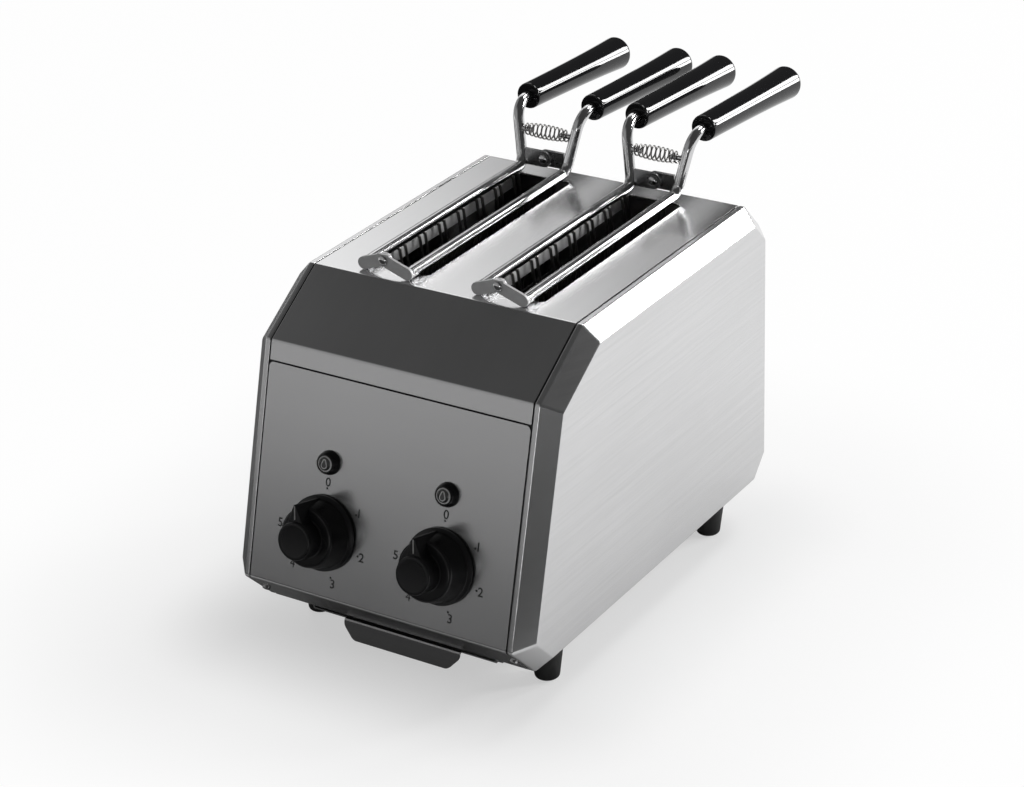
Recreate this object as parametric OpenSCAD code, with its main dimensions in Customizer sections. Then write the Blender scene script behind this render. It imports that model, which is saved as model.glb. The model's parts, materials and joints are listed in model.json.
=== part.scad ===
// Two-slot countertop toaster with a sloping control panel, two timer knobs,
// a crumb tray and two lift-out spring tongs. Millimetres, +Z up, front towards -Y.

/* [Casing] */
// Width across the two side panels
body_w = 210; // [200:1:250]
// Depth from the lower front bend to the rear panel
body_d = 302; // [296:1:350]
// Height of the casing above its feet
body_h = 196.6; // [192:0.1:230]
// Thickness of the casing sheets
sheet = 1.2; // [0.8:0.1:1.6]
// Outside radius of the sheet bends
bend_r = 3; // [2.5:0.1:5]
// Clearance at the seams between sheets
seam = 0.3; // [0.1:0.05:0.6]
// Lean of the control panel from the vertical, in degrees
panel_lean = 15.35; // [10:0.05:18]
// Length of the sloping front, from the lower bend to the visor bend
front_len = 147.3; // [140:0.1:152]
// Tilt of the visor from the horizontal, in degrees
visor_tilt = 32.4; // [29:0.1:45]
// Size of the 45 degree toe under the front
toe = 24.4; // [20:0.1:28]
// Size of the 45 degree chamfers along the rear edges
rear_chamfer = 19.8; // [14:0.1:24]
// Width of the top cover's strip below the visor bend
strip = 12.5; // [8:0.1:16]
// Gap between that strip and the control panel
strip_gap = 0.8; // [0.4:0.1:1.5]

/* [Side panels] */
// Width of the bevel round each side panel
bevel_w = 10.1; // [6:0.1:14]
// Distance from the outline to the inner edge of the bevel
bevel_in = 10.4; // [6:0.1:14]
// Width of the flat lip beside the seam
lip_w = 3.4; // [2:0.1:5]
// Width of the joggled flange under the covers
flange_w = 6.5; // [4:0.1:7]

/* [Slots] */
// Width of a slot
slot_w = 40; // [38:0.5:44]
// Length of a slot
slot_len = 165; // [150:1:168]
// Corner radius of a slot
slot_r = 4; // [2:0.5:7]
// Distance from the lower front bend back to the slots
slot_setback = 101.4; // [100:0.1:106]
// Depth of the edges turned down along a slot
collar = 8.5; // [5:0.5:12]

/* [Feet] */
// Height of a foot
foot_h = 24; // [20:0.5:30]
// Diameter of a foot where it stands
foot_d = 15.5; // [12:0.5:18]
// Diameter of a foot under the casing
foot_top_d = 22; // [18:0.5:23]
// Distance from a side panel's face in to the feet
foot_inset = 22.5; // [21:0.5:26]
// Distance between the front and the rear feet
foot_pitch_y = 200; // [180:1:210]
// Distance from the lower front bend back to the front feet
foot_setback = 57; // [45:1:65]
// Diameter of the foot screws
foot_screw_d = 4; // [3:0.5:5]

/* [Controls] */
// Distance from a side panel's face in to the nearest dial
dial_inset = 63.55; // [60:0.05:68]
// Height of the dials up the panel from the lower bend
dial_up = 39.85; // [34:0.05:46]
// Height of the lamps up the panel from the lower bend
lamp_up = 82.8; // [76:0.1:100]
// Height of a knob above the panel
knob_h = 30; // [26:0.5:34]
// Diameter of a knob's skirt
knob_d = 46; // [42:0.5:50]
// Diameter of a knob's drum
drum_d = 41.2; // [40:0.2:41.6]
// Height of a knob's drum above the panel
drum_h = 18; // [15:0.5:21]
// Diameter of a knob's nose
nose_d = 23; // [18:0.5:26]
// Reach of a knob's pointer from its axis
pointer_reach = 21.6; // [20:0.1:22.6]
// Running gap between a knob and the panel
knob_gap = 0.8; // [0.5:0.1:1.5]
// Turn of the pointers at rest, anticlockwise from their zero mark, in degrees
pointer_rest = 8; // [0:1:12]
// Diameter of the timer shafts
shaft_d = 6; // [5:0.5:8]
// Radial running clearance of the shafts and the tong pivots
run_fit = 0.05; // [0.02:0.01:0.1]
// Width of a timer's square housing
timer_w = 46; // [42:1:52]
// Length of the timer screws
timer_screw_len = 9; // [6:0.5:10]
// Depth of a timer's housing behind the panel
timer_depth = 32; // [26:1:36]
// Distance between a timer's two screws
timer_screw_pitch = 28; // [26:0.5:29]
// Diameter of the casing and timer screws
screw_d = 3; // [2.5:0.5:3.5]
// Diameter of a lamp's bezel
lamp_d = 14.8; // [13:0.1:17]
// Diameter of a lamp's lens
lens_d = 9.8; // [8:0.1:11]
// Height of a lamp's bezel above the panel
lamp_h = 5.4; // [4:0.1:7]

/* [Tongs] */
// Diameter of the tong rods
rod_d = 7; // [6:0.1:7.4]
// Distance between the two rods of a tong
rod_spread = 32.2; // [31:0.1:34]
// Distance between the neighbouring handles of the two tongs
tong_room = 32.4; // [28:0.1:36]
// Gap under the rods where they lie on the cover
rod_rest = 0.3; // [0.2:0.05:0.5]
// Sideways lie of the tongs in their slots
tong_shift = -3.4; // [-3.4:0.1:3.4]
// Reach of the rods past the front end of a slot
rod_overhang = 7.2; // [5:0.1:8]
// Reach of the rods past the rear end of a slot
rod_heel = 5.5; // [4:0.1:8]
// Rise of the uprights from the rods to the handles
upright_rise = 38.5; // [36:0.5:46]
// Backward lean of the uprights over that rise
upright_back = 7.7; // [4:0.1:10]
// Radius of the lower bends in the rods
rod_bend = 8; // [7:0.5:9]
// Radius of the upper bends in the rods
grip_bend = 13; // [11:0.5:14]
// Distance from the upper bend to the handle
handle_gap = 13.5; // [13:0.1:16]
// Length of a handle
handle_len = 115; // [105:1:130]
// Diameter of a handle at its front
handle_d = 17; // [15:0.5:19]
// Diameter of a handle at its rear
handle_end_d = 22; // [19:0.2:24]
// Droop of the handles, in degrees
handle_droop = 3.3; // [0:0.1:6]
// Height of the pivots above the top cover
pivot_h = 9.9; // [9:0.1:11]
// Diameter of the pivot rivets
rivet_d = 4; // [3.5:0.1:5]
// Thickness of the link plates
link_t = 2; // [1.5:0.1:2.5]
// Height of the front link plates
front_link_w = 8; // [7.6:0.1:8.4]
// Height of the rear link plates
rear_link_w = 11; // [9.5:0.5:12]
// Number of wire hairpins in a jaw
hairpins = 8; // [5:1:8]
// Distance between neighbouring hairpins
hairpin_pitch = 21.5; // [16:0.1:21.8]
// Diameter of the hairpin wire
hairpin_d = 2; // [1.6:0.1:2.4]
// Distance between the two legs of a hairpin
hairpin_w = 6; // [5:0.5:9]
// Reach of the jaws below the top cover
jaw_depth = 78; // [60:1:100]
// Distance between the jaws' wires at their tips
jaw_tip_gap = 4.6; // [3:0.2:6]

/* [Springs] */
// Turns of a tong's spring
spring_turns = 10; // [8:1:12]
// Diameter of the spring wire
spring_wire = 1.1; // [0.8:0.1:1.2]
// Middle diameter of a spring's turns at its ends
spring_end_d = 6.4; // [6:0.1:7]
// Middle diameter of a spring's turns halfway along
spring_mid_d = 8.8; // [7.5:0.1:10]
// Height of the springs above the rods
spring_up = 22.6; // [20:0.1:25]

/* [Crumb tray] */
// Distance between the tray's runners and the feet
tray_clear = 3.9; // [2:0.1:6]
// Depth of the tray's body
tray_len = 240; // [200:1:250]
// Thickness of the tray sheet
tray_t = 1; // [0.8:0.1:1.2]
// Height of the tray's side walls
tray_wall = 3; // [2:0.1:3.2]
// Running gap round the tray
tray_gap = 0.4; // [0.3:0.05:0.5]
// Width of the tray's pull flap
flap_w = 83; // [60:1:110]
// Height of the pull flap
flap_h = 12; // [8:0.5:14]
// Forward lean of the flap over its height
flap_lean = 3; // [0:0.5:6]

/* [Heating] */
// Diameter of the quartz heater tubes
tube_d = 10; // [8:0.5:11]
// Height of the lowest heater tubes above the casing floor
tube_low = 44; // [36:1:56]
// Distance between heater tubes, one above the other
tube_pitch = 46; // [36:1:50]
// Distance of the guard wires from a slot's edge
guard_clear = 4; // [3:0.1:5]
// Diameter of the guard wires
guard_d = 2; // [1.5:0.1:2.4]
// Distance of the bulkheads from the slots' ends
bulkhead_off = 9; // [8:0.5:10]

/* [Hidden] */

steel = "silver";
dark = [0.09, 0.09, 0.10];
ceramic = "ivory";
$fn = 48;
bend_steps = 6;
eps = 0.01;

// Floor and top of the casing
z_floor = foot_h;
z_top = foot_h + body_h;

// Places along Y: the box from the knob noses to the handle ends is centred on the origin
dial_y = dial_up * sin(panel_lean);
knob_reach = knob_h * cos(panel_lean) + nose_d / 2 * sin(panel_lean) - dial_y;
tong_reach = slot_setback + slot_len + rod_heel + upright_back + handle_gap * cos(handle_droop)
    + handle_len * cos(handle_droop) + handle_end_d / 2 * sin(handle_droop);
y_front = (knob_reach - tong_reach) / 2;
y_rear = y_front + body_d;
slot_front = y_front + slot_setback;
slot_rear = slot_front + slot_len;
slot_mid = slot_front + slot_len / 2;

// Side outline of the casing, anticlockwise as (y, z), from the lower front bend
p_low = [y_front, z_floor + toe];
p_toe = [y_front + toe, z_floor];
p_heel = [y_rear - rear_chamfer, z_floor];
p_back_low = [y_rear, z_floor + rear_chamfer];
p_back_top = [y_rear, z_top - rear_chamfer];
p_top_back = [y_rear - rear_chamfer, z_top];
up_slope = [sin(panel_lean), cos(panel_lean)];
p_visor = p_low + front_len * up_slope;
p_top = [p_visor[0] + (z_top - p_visor[1]) / tan(visor_tilt), z_top];
outline = [p_low, p_toe, p_heel, p_back_low, p_back_top, p_top_back, p_top, p_visor];
LOW = 0;
TOE = 1;
HEEL = 2;
BACK_LOW = 3;
BACK_TOP = 4;
TOP_BACK = 5;
TOP = 6;
VISOR = 7;

// Half widths across X
x_side = body_w / 2;
x_bevel = x_side - bevel_w;
x_lip = x_bevel - lip_w;
x_cover = x_lip - seam;
x_flange = x_lip - flange_w;
wall_half = x_flange - seam;

// Places across the chamber: the space left over is shared between the pieces
chamber_slack = wall_half - 1.5 * tube_d - 2 * guard_d - slot_w - 2 * guard_clear - sheet;
inner_share = 6 / 11;
tube_share = 4 / 33;
slot_x = tube_d / 2 + inner_share * chamber_slack + guard_d + guard_clear + slot_w / 2;
guard_off = slot_w / 2 + guard_clear + guard_d / 2;
tube_x = slot_x + guard_off + guard_d / 2 + tube_share * chamber_slack + tube_d / 2;
reflector_x = tube_x + tube_d / 2 + tube_share * chamber_slack;
slot_pitch = 2 * slot_x;
handle_spread = slot_pitch - tong_room;
foot_x = x_side - foot_inset;

// Corner and line helpers
function unit(v) = v / norm(v);
function turn_left(v) = [-v[1], v[0]];
function cross2(a, b) = a[0] * b[1] - a[1] * b[0];
function meet(p, d, q, e) = p + d * cross2(q - p, e) / cross2(d, e);
function moved_corner(a, b, c, depth) =
    meet(b + turn_left(unit(b - a)) * depth, b - a, b + turn_left(unit(c - b)) * depth, c - b);
function inset(pts, depth) = let (n = len(pts))
    [for (i = [0:n - 1]) moved_corner(pts[(i + n - 1) % n], pts[i], pts[(i + 1) % n], depth)];
function corner_arc(a, b, c, r) = let (
    d = unit(b - a),
    e = unit(c - b),
    turn = atan2(cross2(d, e), d * e),
    start = b - d * r * tan(abs(turn) / 2),
    side = sign(turn),
    centre = start + turn_left(d) * r * side,
    from = atan2(start[1] - centre[1], start[0] - centre[0]))
    [for (k = [0:bend_steps]) let (w = from + turn * k / bend_steps) centre + r * [cos(w), sin(w)]];
function rounded(pts, r) = let (n = len(pts))
    [for (i = [0:n - 1]) each corner_arc(pts[(i + n - 1) % n], pts[i], pts[(i + 1) % n], r)];
function rounded_path(pts, r) = let (n = len(pts))
    [for (i = [0:n - 1])
        each (i == 0 || i == n - 1) ? [pts[i]] : corner_arc(pts[i - 1], pts[i], pts[i + 1], r)];
function reversed(pts) = [for (i = [len(pts) - 1:-1:0]) pts[i]];

inner = inset(outline, sheet);
inner2 = inset(outline, 2 * sheet);

// Solid through equal loops of points, the first loop at the lower end
module loft(loops) {
    n = len(loops[0]);
    last = len(loops) - 1;
    walls = [for (k = [0:last - 1]) for (i = [0:n - 1]) let (j = (i + 1) % n)
        each [[k * n + i, k * n + n + j, k * n + j], [k * n + i, k * n + n + i, k * n + n + j]]];
    ends = [[for (i = [0:n - 1]) i], [for (i = [n - 1:-1:0]) last * n + i]];
    polyhedron(points = [for (l = loops) each l], faces = concat(walls, ends));
}

function loop_at(pts, x) = [for (p = pts) [x, p[0], p[1]]];

// Side outline drawn in (y, z), pushed out along X from x0 to x1
module across(x0, x1) {
    translate([x0, 0, 0]) rotate([90, 0, 90]) linear_extrude(height = x1 - x0) children();
}

// Flat shape drawn in (x, z), pushed out along Y from y0 to y1
module along(y0, y1) {
    translate([0, y1, 0]) rotate([90, 0, 0]) linear_extrude(height = y1 - y0) children();
}

// Bent cover sheet between matching outer and inner paths
module cover_sheet(outer_path, inner_path) {
    across(-x_cover, x_cover)
        polygon(concat(rounded_path(outer_path, bend_r), reversed(rounded_path(inner_path, bend_r - sheet))));
}

// Frame of the control panel: X across, Y up the slope, Z out of the panel
module on_panel(x, up) {
    translate([x, p_low[0] + up * up_slope[0], p_low[1] + up * up_slope[1]])
        rotate([90 - panel_lean, 0, 0]) children();
}

// Frame of the toe's middle: Z out of the toe
module on_toe(x) {
    translate([x, y_front + toe / 2, z_floor + toe / 2]) rotate([135, 0, 0]) children();
}

// Frame of the rear panel: Z out of the panel
module on_rear(x, z) {
    translate([x, y_rear, z]) rotate([-90, 0, 0]) children();
}

// Four-cornered plate with round corners, centred, standing on Z = 0
module round_plate(size_x, size_y, r, h) {
    translate([-size_x / 2, -size_y / 2 + r, 0]) cube([size_x, size_y - 2 * r, h]);
    translate([-size_x / 2 + r, -size_y / 2, 0]) cube([size_x - 2 * r, size_y, h]);
    for (x = [-1, 1], y = [-1, 1])
        translate([x * (size_x / 2 - r), y * (size_y / 2 - r), 0]) cylinder(r = r, h = h);
}

// Placement with its Z axis along a direction
function frame_along(at, z) = let (
    guess = abs(z[0]) < 0.9 ? [1, 0, 0] : [0, 1, 0],
    x = unit(cross(guess, z)),
    y = cross(z, x))
    [[x[0], y[0], z[0], at[0]], [x[1], y[1], z[1], at[1]], [x[2], y[2], z[2], at[2]], [0, 0, 0, 1]];

module bar(a, b, r) {
    multmatrix(frame_along(a, unit(b - a))) cylinder(r = r, h = norm(b - a));
}

// Points of one bend, each with its direction of travel
function bend_points(a, b, c, r) = let (
    d = unit(b - a),
    e = unit(c - b),
    turn = acos(d * e),
    centre = b + unit(e - d) * r / cos(turn / 2),
    x = unit(b - d * r * tan(turn / 2) - centre))
    [for (k = [0:bar_steps]) let (w = turn * k / bar_steps)
        [centre + r * (x * cos(w) + d * sin(w)), d * cos(w) - x * sin(w)]];
function bar_points(pts, bend) = let (n = len(pts))
    concat([[pts[0], unit(pts[1] - pts[0])]],
        [for (i = [1:n - 2])
            each bend_points(pts[i - 1], pts[i], pts[i + 1], is_list(bend) ? bend[i - 1] : bend)],
        [[pts[n - 1], unit(pts[n - 1] - pts[n - 2])]]);
function ring_at(p, d, ref, r, sides) = let (
    e = unit(ref - d * (d * ref)),
    f = cross(d, e))
    [for (s = [0:sides - 1]) p + r * (cos(360 * s / sides) * e + sin(360 * s / sides) * f)];

// Round bar along a line of points, its corners bent to one radius or a list of them;
// ref is never along the bar
bar_steps = 6;
module bent_bar(pts, r, bend, ref, sides) {
    loft([for (q = bar_points(pts, bend)) ring_at(q[0], q[1], ref, r, sides)]);
}

// Pan head screw, its head on Z = 0 and its shank below
screw_head_d = 1.7 * screw_d;
screw_head_h = 0.6 * screw_d;
module pan_screw(d, length) {
    cylinder(d1 = 1.7 * d, d2 = 1.4 * d, h = 0.6 * d);
    translate([0, 0, -length]) cylinder(d = d, h = length);
}

// Casing
cover_screw_x = x_lip - screw_head_d / 2 - 2 * seam;
cover_screw_len = 6;
rear_screw_z = [z_floor + 1.6 * rear_chamfer, z_top - 1.6 * rear_chamfer];

module casing_screw_places() {
    for (x = [-1, 1]) {
        on_toe(x * cover_screw_x) children();
        for (z = rear_screw_z) on_rear(x * cover_screw_x, z) children();
    }
}

module casing_screw_holes() {
    casing_screw_places() translate([0, 0, -cover_screw_len - sheet])
        cylinder(d = screw_d + 2 * run_fit, h = 3 * cover_screw_len);
}

module side_panel(side) {
    outer_loop = rounded(outline, bend_r);
    face_loop = rounded(inset(outline, bevel_in), bend_r);
    cavity_loop = rounded(inner, bend_r - sheet);
    cavity_face = rounded(inset(outline, bevel_in + sheet * tan(22.5)), bend_r);
    rim_loop = rounded(inset(outline, sheet / 2), bend_r - sheet / 2);
    mirror([side < 0 ? 1 : 0, 0, 0]) {
        difference() {
            loft([loop_at(outer_loop, x_lip), loop_at(outer_loop, x_bevel), loop_at(face_loop, x_side)]);
            loft([loop_at(cavity_loop, x_lip - 1), loop_at(cavity_loop, x_bevel - sheet * tan(22.5)),
                loop_at(cavity_face, x_side - sheet)]);
        }
        difference() {
            union() {
                across(x_flange, x_bevel - sheet) polygon(cavity_loop);
                across(x_lip - seam / 2, x_bevel - sheet) polygon(rim_loop);
            }
            across(x_flange - 1, x_bevel) polygon(rounded(inner2, max(bend_r - 2 * sheet, 0.2)));
            casing_screw_holes();
        }
    }
}

module left_side_panel() {
    color(steel) side_panel(-1);
}

module right_side_panel() {
    color(steel) side_panel(1);
}

module slot_places() {
    for (x = [-slot_x, slot_x]) translate([x, slot_mid, 0]) children();
}

strip_end = p_visor - strip * up_slope;
panel_end = p_visor - (strip + strip_gap) * up_slope;
slope_in = turn_left(-up_slope) * sheet;

module top_cover() {
    color(steel) {
        difference() {
            cover_sheet([outline[BACK_TOP], outline[TOP_BACK], outline[TOP], outline[VISOR], strip_end],
                [inner[BACK_TOP], inner[TOP_BACK], inner[TOP], inner[VISOR], strip_end + slope_in]);
            slot_places() translate([0, 0, z_top - 2 * sheet])
                round_plate(slot_w, slot_len, slot_r, 3 * sheet);
        }
        slot_places() for (x = [-1, 1])
            translate([x * (slot_w + sheet) / 2 - sheet / 2, slot_r - slot_len / 2, z_top - collar])
                cube([sheet, slot_len - 2 * slot_r, collar - sheet / 2]);
    }
}

dial_x = x_side - dial_inset;
panel_hole_d = shaft_d + 3;

module dial_places() {
    for (x = [-dial_x, dial_x]) on_panel(x, dial_up) children();
}

module lamp_places() {
    for (x = [-dial_x, dial_x]) on_panel(x, lamp_up) children();
}

module timer_screw_places() {
    for (x = [-1, 1]) translate([x * timer_screw_pitch / 2, 0, 0]) children();
}

lamp_body_d = lens_d + 2;

module control_panel() {
    color(steel) difference() {
        cover_sheet([panel_end, outline[LOW], outline[TOE]], [panel_end + slope_in, inner[LOW], inner[TOE]]);
        dial_places() translate([0, 0, -2 * sheet]) {
            cylinder(d = panel_hole_d, h = 3 * sheet);
            timer_screw_places() cylinder(d = screw_d + 2 * run_fit, h = 3 * sheet);
        }
        lamp_places() translate([0, 0, -2 * sheet]) cylinder(d = lamp_body_d + 2 * run_fit, h = 3 * sheet);
        casing_screw_holes();
    }
}

vent_count = 9;
vent_w = 4;
vent_h = 36;
vent_pitch = 12;
vent_z = z_floor + 0.62 * body_h;
gland_d = 16;
gland_inset = 47;
gland_x = x_side - gland_inset;
gland_z = z_floor + tube_low + tube_pitch / 2;
stud_gap = 30;
stud_x = gland_x - stud_gap;
stud_d = 5;

module rear_panel() {
    color(steel) difference() {
        cover_sheet([outline[HEEL], outline[BACK_LOW], outline[BACK_TOP]],
            [inner[HEEL], inner[BACK_LOW], inner[BACK_TOP]]);
        for (i = [0:vent_count - 1]) on_rear((i - (vent_count - 1) / 2) * vent_pitch, vent_z)
            translate([0, 0, -2 * sheet]) round_plate(vent_w, vent_h, vent_w / 2 - eps, 3 * sheet);
        on_rear(gland_x, gland_z) translate([0, 0, -2 * sheet])
            cylinder(d = gland_d + 2 * run_fit, h = 3 * sheet);
        on_rear(stud_x, gland_z) translate([0, 0, -2 * sheet])
            cylinder(d = stud_d + 2 * run_fit, h = 3 * sheet);
        casing_screw_holes();
    }
}

module foot_places() {
    for (x = [-1, 1], y = [0, 1])
        translate([x * foot_x, y_front + foot_setback + y * foot_pitch_y, 0]) children();
}

crumb_margin = 4;

module base_plate() {
    color(steel) difference() {
        cover_sheet([outline[TOE], outline[HEEL]], [inner[TOE], inner[HEEL]]);
        slot_places() translate([0, 0, z_floor - sheet])
            round_plate(slot_w + crumb_margin, slot_len, slot_r, 3 * sheet);
        foot_places() cylinder(d = foot_screw_d + 2 * run_fit, h = z_floor + 2 * sheet);
    }
}

// Feet
foot_round = 2;
foot_bore = foot_screw_d + 0.4;
foot_recess_d = 1.7 * foot_screw_d + 1;
foot_recess = 8;

module feet() {
    color(dark) foot_places() difference() {
        union() {
            translate([0, 0, foot_round]) cylinder(d1 = foot_d, d2 = foot_top_d, h = foot_h - foot_round);
            cylinder(d1 = foot_d - 2 * foot_round, d2 = foot_d, h = foot_round);
        }
        translate([0, 0, -1]) cylinder(d = foot_bore, h = foot_h + 2);
        translate([0, 0, -1]) cylinder(d = foot_recess_d, h = foot_recess + 1);
    }
}

module foot_screws() {
    color(steel) foot_places() translate([0, 0, foot_recess]) rotate([180, 0, 0])
        pan_screw(foot_screw_d, foot_h - foot_recess + 5);
}

module cover_screws() {
    color(steel) casing_screw_places() pan_screw(screw_d, cover_screw_len);
}

// Chamber round the slots
front_wall_y = slot_front - bulkhead_off;
rear_wall_y = slot_rear + bulkhead_off;
tube_heights = [for (i = [0:2]) z_floor + tube_low + i * tube_pitch];
cap_len = 12;
cap_d = tube_d + 6;
cap_depth = 9;

module tube_places(columns) {
    for (x = columns, z = tube_heights) translate([x, 0, z]) children();
}

module bulkhead(y0) {
    difference() {
        translate([-wall_half, y0, z_floor + sheet]) cube([2 * wall_half, sheet, body_h - 2 * sheet]);
        tube_places([-tube_x, 0, tube_x]) along(y0 - 1, y0 + sheet + 1) circle(d = tube_d + 2 * run_fit);
    }
}

module front_bulkhead() {
    color(steel) bulkhead(front_wall_y - sheet);
}

module rear_bulkhead() {
    color(steel) bulkhead(rear_wall_y);
}

reflector_low = 24;
reflector_h = 140;
reflector_lip = 5;

// Upright reflector sheet with its upper and lower edges turned towards the slot
module reflector(side) {
    mirror([side < 0 ? 1 : 0, 0, 0]) translate([reflector_x, front_wall_y, z_floor + reflector_low]) {
        cube([sheet, rear_wall_y - front_wall_y, reflector_h]);
        for (z = [0, reflector_h - sheet])
            translate([-reflector_lip, 0, z]) cube([reflector_lip, rear_wall_y - front_wall_y, sheet]);
    }
}

module left_reflector() {
    color(steel) reflector(-1);
}

module right_reflector() {
    color(steel) reflector(1);
}

tube_wall = 1;

module heater_tubes(x) {
    tube_places([x]) along(front_wall_y - sheet - cap_depth, rear_wall_y + sheet + cap_depth) difference() {
        circle(d = tube_d);
        circle(d = tube_d - 2 * tube_wall);
    }
}

module left_heaters() {
    color("linen") heater_tubes(-tube_x);
}

module centre_heaters() {
    color("linen") heater_tubes(0);
}

module right_heaters() {
    color("linen") heater_tubes(tube_x);
}

module heater_cap() {
    rotate_extrude() polygon([[tube_d / 2 + run_fit, 0], [cap_d / 2, 0], [cap_d / 2, cap_len - 1],
        [cap_d / 2 - 1, cap_len], [1, cap_len], [1, cap_depth + eps], [tube_d / 2 + run_fit, cap_depth + eps]]);
}

module heater_caps() {
    color(ceramic) tube_places([-tube_x, 0, tube_x]) {
        translate([0, front_wall_y - sheet, 0]) rotate([90, 0, 0]) heater_cap();
        translate([0, rear_wall_y + sheet, 0]) rotate([-90, 0, 0]) heater_cap();
    }
}

guard_low = 20;
guard_high = 150;
guard_bars = 8;
guard_bar_d = 0.7 * guard_d;

// Upright grid of wires between the bulkheads, beside a slot
module guard(x) {
    gap = rear_wall_y - front_wall_y;
    translate([x, front_wall_y, z_floor]) {
        for (z = [guard_low, guard_high]) translate([0, 0, z]) rotate([-90, 0, 0])
            cylinder(d = guard_d, h = gap);
        for (i = [1:guard_bars]) translate([0, gap * i / (guard_bars + 1), guard_low])
            cylinder(d = guard_bar_d, h = guard_high - guard_low);
    }
}

module left_outer_guard() {
    color(steel) guard(-slot_x - guard_off);
}

module left_inner_guard() {
    color(steel) guard(guard_off - slot_x);
}

module right_inner_guard() {
    color(steel) guard(slot_x - guard_off);
}

module right_outer_guard() {
    color(steel) guard(slot_x + guard_off);
}

// Timers, lamps and wiring
timer_tab = 6;

module timer(x) {
    on_panel(x, dial_up) difference() {
        translate([-timer_w / 2, -timer_w / 2, -sheet - timer_depth]) cube([timer_w, timer_w, timer_depth]);
        translate([0, 0, -sheet - timer_depth + timer_tab])
            cylinder(d = shaft_d + 2 * run_fit, h = timer_depth);
        timer_screw_places() translate([0, 0, -sheet - timer_screw_len])
            cylinder(d = screw_d + 2 * run_fit, h = 2 * timer_screw_len);
    }
}

module left_timer() {
    color("gainsboro") timer(-dial_x);
}

module right_timer() {
    color("gainsboro") timer(dial_x);
}

module timer_screws() {
    color(steel) dial_places() timer_screw_places() pan_screw(screw_d, timer_screw_len);
}

module timer_shaft(x) {
    top = knob_gap + 0.6 * knob_h;
    bottom = -sheet - timer_depth + timer_tab + 0.3;
    on_panel(x, dial_up) translate([0, 0, bottom]) cylinder(d = shaft_d, h = top - bottom);
}

module left_timer_shaft() {
    color(steel) timer_shaft(-dial_x);
}

module right_timer_shaft() {
    color(steel) timer_shaft(dial_x);
}

skirt_h = 2;
knob_recess_d = knob_d - 8;
knob_recess = 4.5;
pointer_drop = 2;
pointer_tip = 1.2;
pointer_root = 0.8 * nose_d / 2;
knob_edge = 1.2;

module knob(x) {
    skirt_r = knob_d / 2;
    drum_r = drum_d / 2;
    nose_r = nose_d / 2;
    skirt_top = knob_gap + skirt_h;
    on_panel(x, dial_up) rotate([0, 0, pointer_rest]) difference() {
        union() {
            rotate_extrude() polygon([[0, knob_gap], [skirt_r, knob_gap], [skirt_r, skirt_top],
                [drum_r, skirt_top + 1], [drum_r - 0.6, drum_h / 2], [drum_r - 2.4, drum_h - knob_edge],
                [drum_r - 2.4 - knob_edge, drum_h], [0, drum_h]]);
            rotate_extrude() polygon([[0, drum_h / 2], [nose_r, drum_h / 2], [nose_r, knob_h - knob_edge],
                [nose_r - knob_edge, knob_h], [0, knob_h]]);
            translate([0, 0, skirt_top - 1]) linear_extrude(height = knob_h - pointer_drop - skirt_top + 1)
                polygon([[-pointer_root, 0], [pointer_root, 0], [pointer_tip, pointer_reach - pointer_tip],
                    [pointer_tip / 2, pointer_reach], [-pointer_tip / 2, pointer_reach],
                    [-pointer_tip, pointer_reach - pointer_tip]]);
        }
        cylinder(d = knob_recess_d, h = knob_recess);
        cylinder(d = shaft_d, h = knob_gap + 0.6 * knob_h);
    }
}

module left_knob() {
    color(dark) knob(-dial_x);
}

module right_knob() {
    color(dark) knob(dial_x);
}

lamp_tail = 16;
lens_dome = 1;
lens_r = lens_d / 2 - run_fit;
neon_d = 5;

module lamp_bezels() {
    bore = lens_d / 2;
    color(dark) lamp_places() rotate_extrude() polygon([[bore, -lamp_tail], [lamp_body_d / 2, -lamp_tail],
        [lamp_body_d / 2, 0], [lamp_d / 2, 0], [lamp_d / 2, 1], [lamp_d / 2 - 1.4, lamp_h - 0.6],
        [lamp_d / 2 - 2, lamp_h], [bore, lamp_h]]);
}

module lamp_lenses() {
    color("whitesmoke") lamp_places() rotate_extrude() polygon([[0, lamp_h - 3], [lens_r, lamp_h - 3],
        [lens_r, lamp_h - 0.4], [lens_r - 1.2, lamp_h + lens_dome - 0.4], [0, lamp_h + lens_dome]]);
}

module neon_bulbs() {
    color("orange") lamp_places() translate([0, 0, -lamp_tail]) {
        cylinder(d = neon_d, h = lamp_tail + lamp_h - 3 - 0.2);
        cylinder(r = lens_r, h = 4);
    }
}

terminal_size = [34, 12, 18];
terminal_x = -6;

module terminal_block() {
    place = [terminal_x - terminal_size[0] / 2, y_rear - sheet - terminal_size[1],
        gland_z - terminal_size[2] / 2];
    color("ivory") translate(place) difference() {
        cube(terminal_size);
        for (i = [0:2]) translate([terminal_size[0] * (i + 0.5) / 3, terminal_size[1] / 2, 4])
            cylinder(d = 5, h = terminal_size[2]);
    }
}

gland_nut_d = 24;
gland_nut_h = 6;
gland_cone_h = 8;
gland_thread = 8;
gland_lock_h = 5;
gland_hole_d = 8;

module cord_gland() {
    color(dark) on_rear(gland_x, gland_z) difference() {
        union() {
            cylinder(d = gland_nut_d, h = gland_nut_h, $fn = 6);
            translate([0, 0, gland_nut_h])
                cylinder(d1 = 0.83 * gland_nut_d, d2 = 0.67 * gland_nut_d, h = gland_cone_h);
            translate([0, 0, -sheet - gland_thread]) cylinder(d = gland_d, h = sheet + gland_thread);
            translate([0, 0, -sheet - gland_lock_h]) cylinder(d = gland_nut_d, h = gland_lock_h, $fn = 6);
        }
        translate([0, 0, -2 * gland_thread])
            cylinder(d = gland_hole_d, h = 4 * (gland_thread + gland_cone_h));
    }
}

stud_in = 12;
stud_out = 3;
stud_nut_h = 4;

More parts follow.
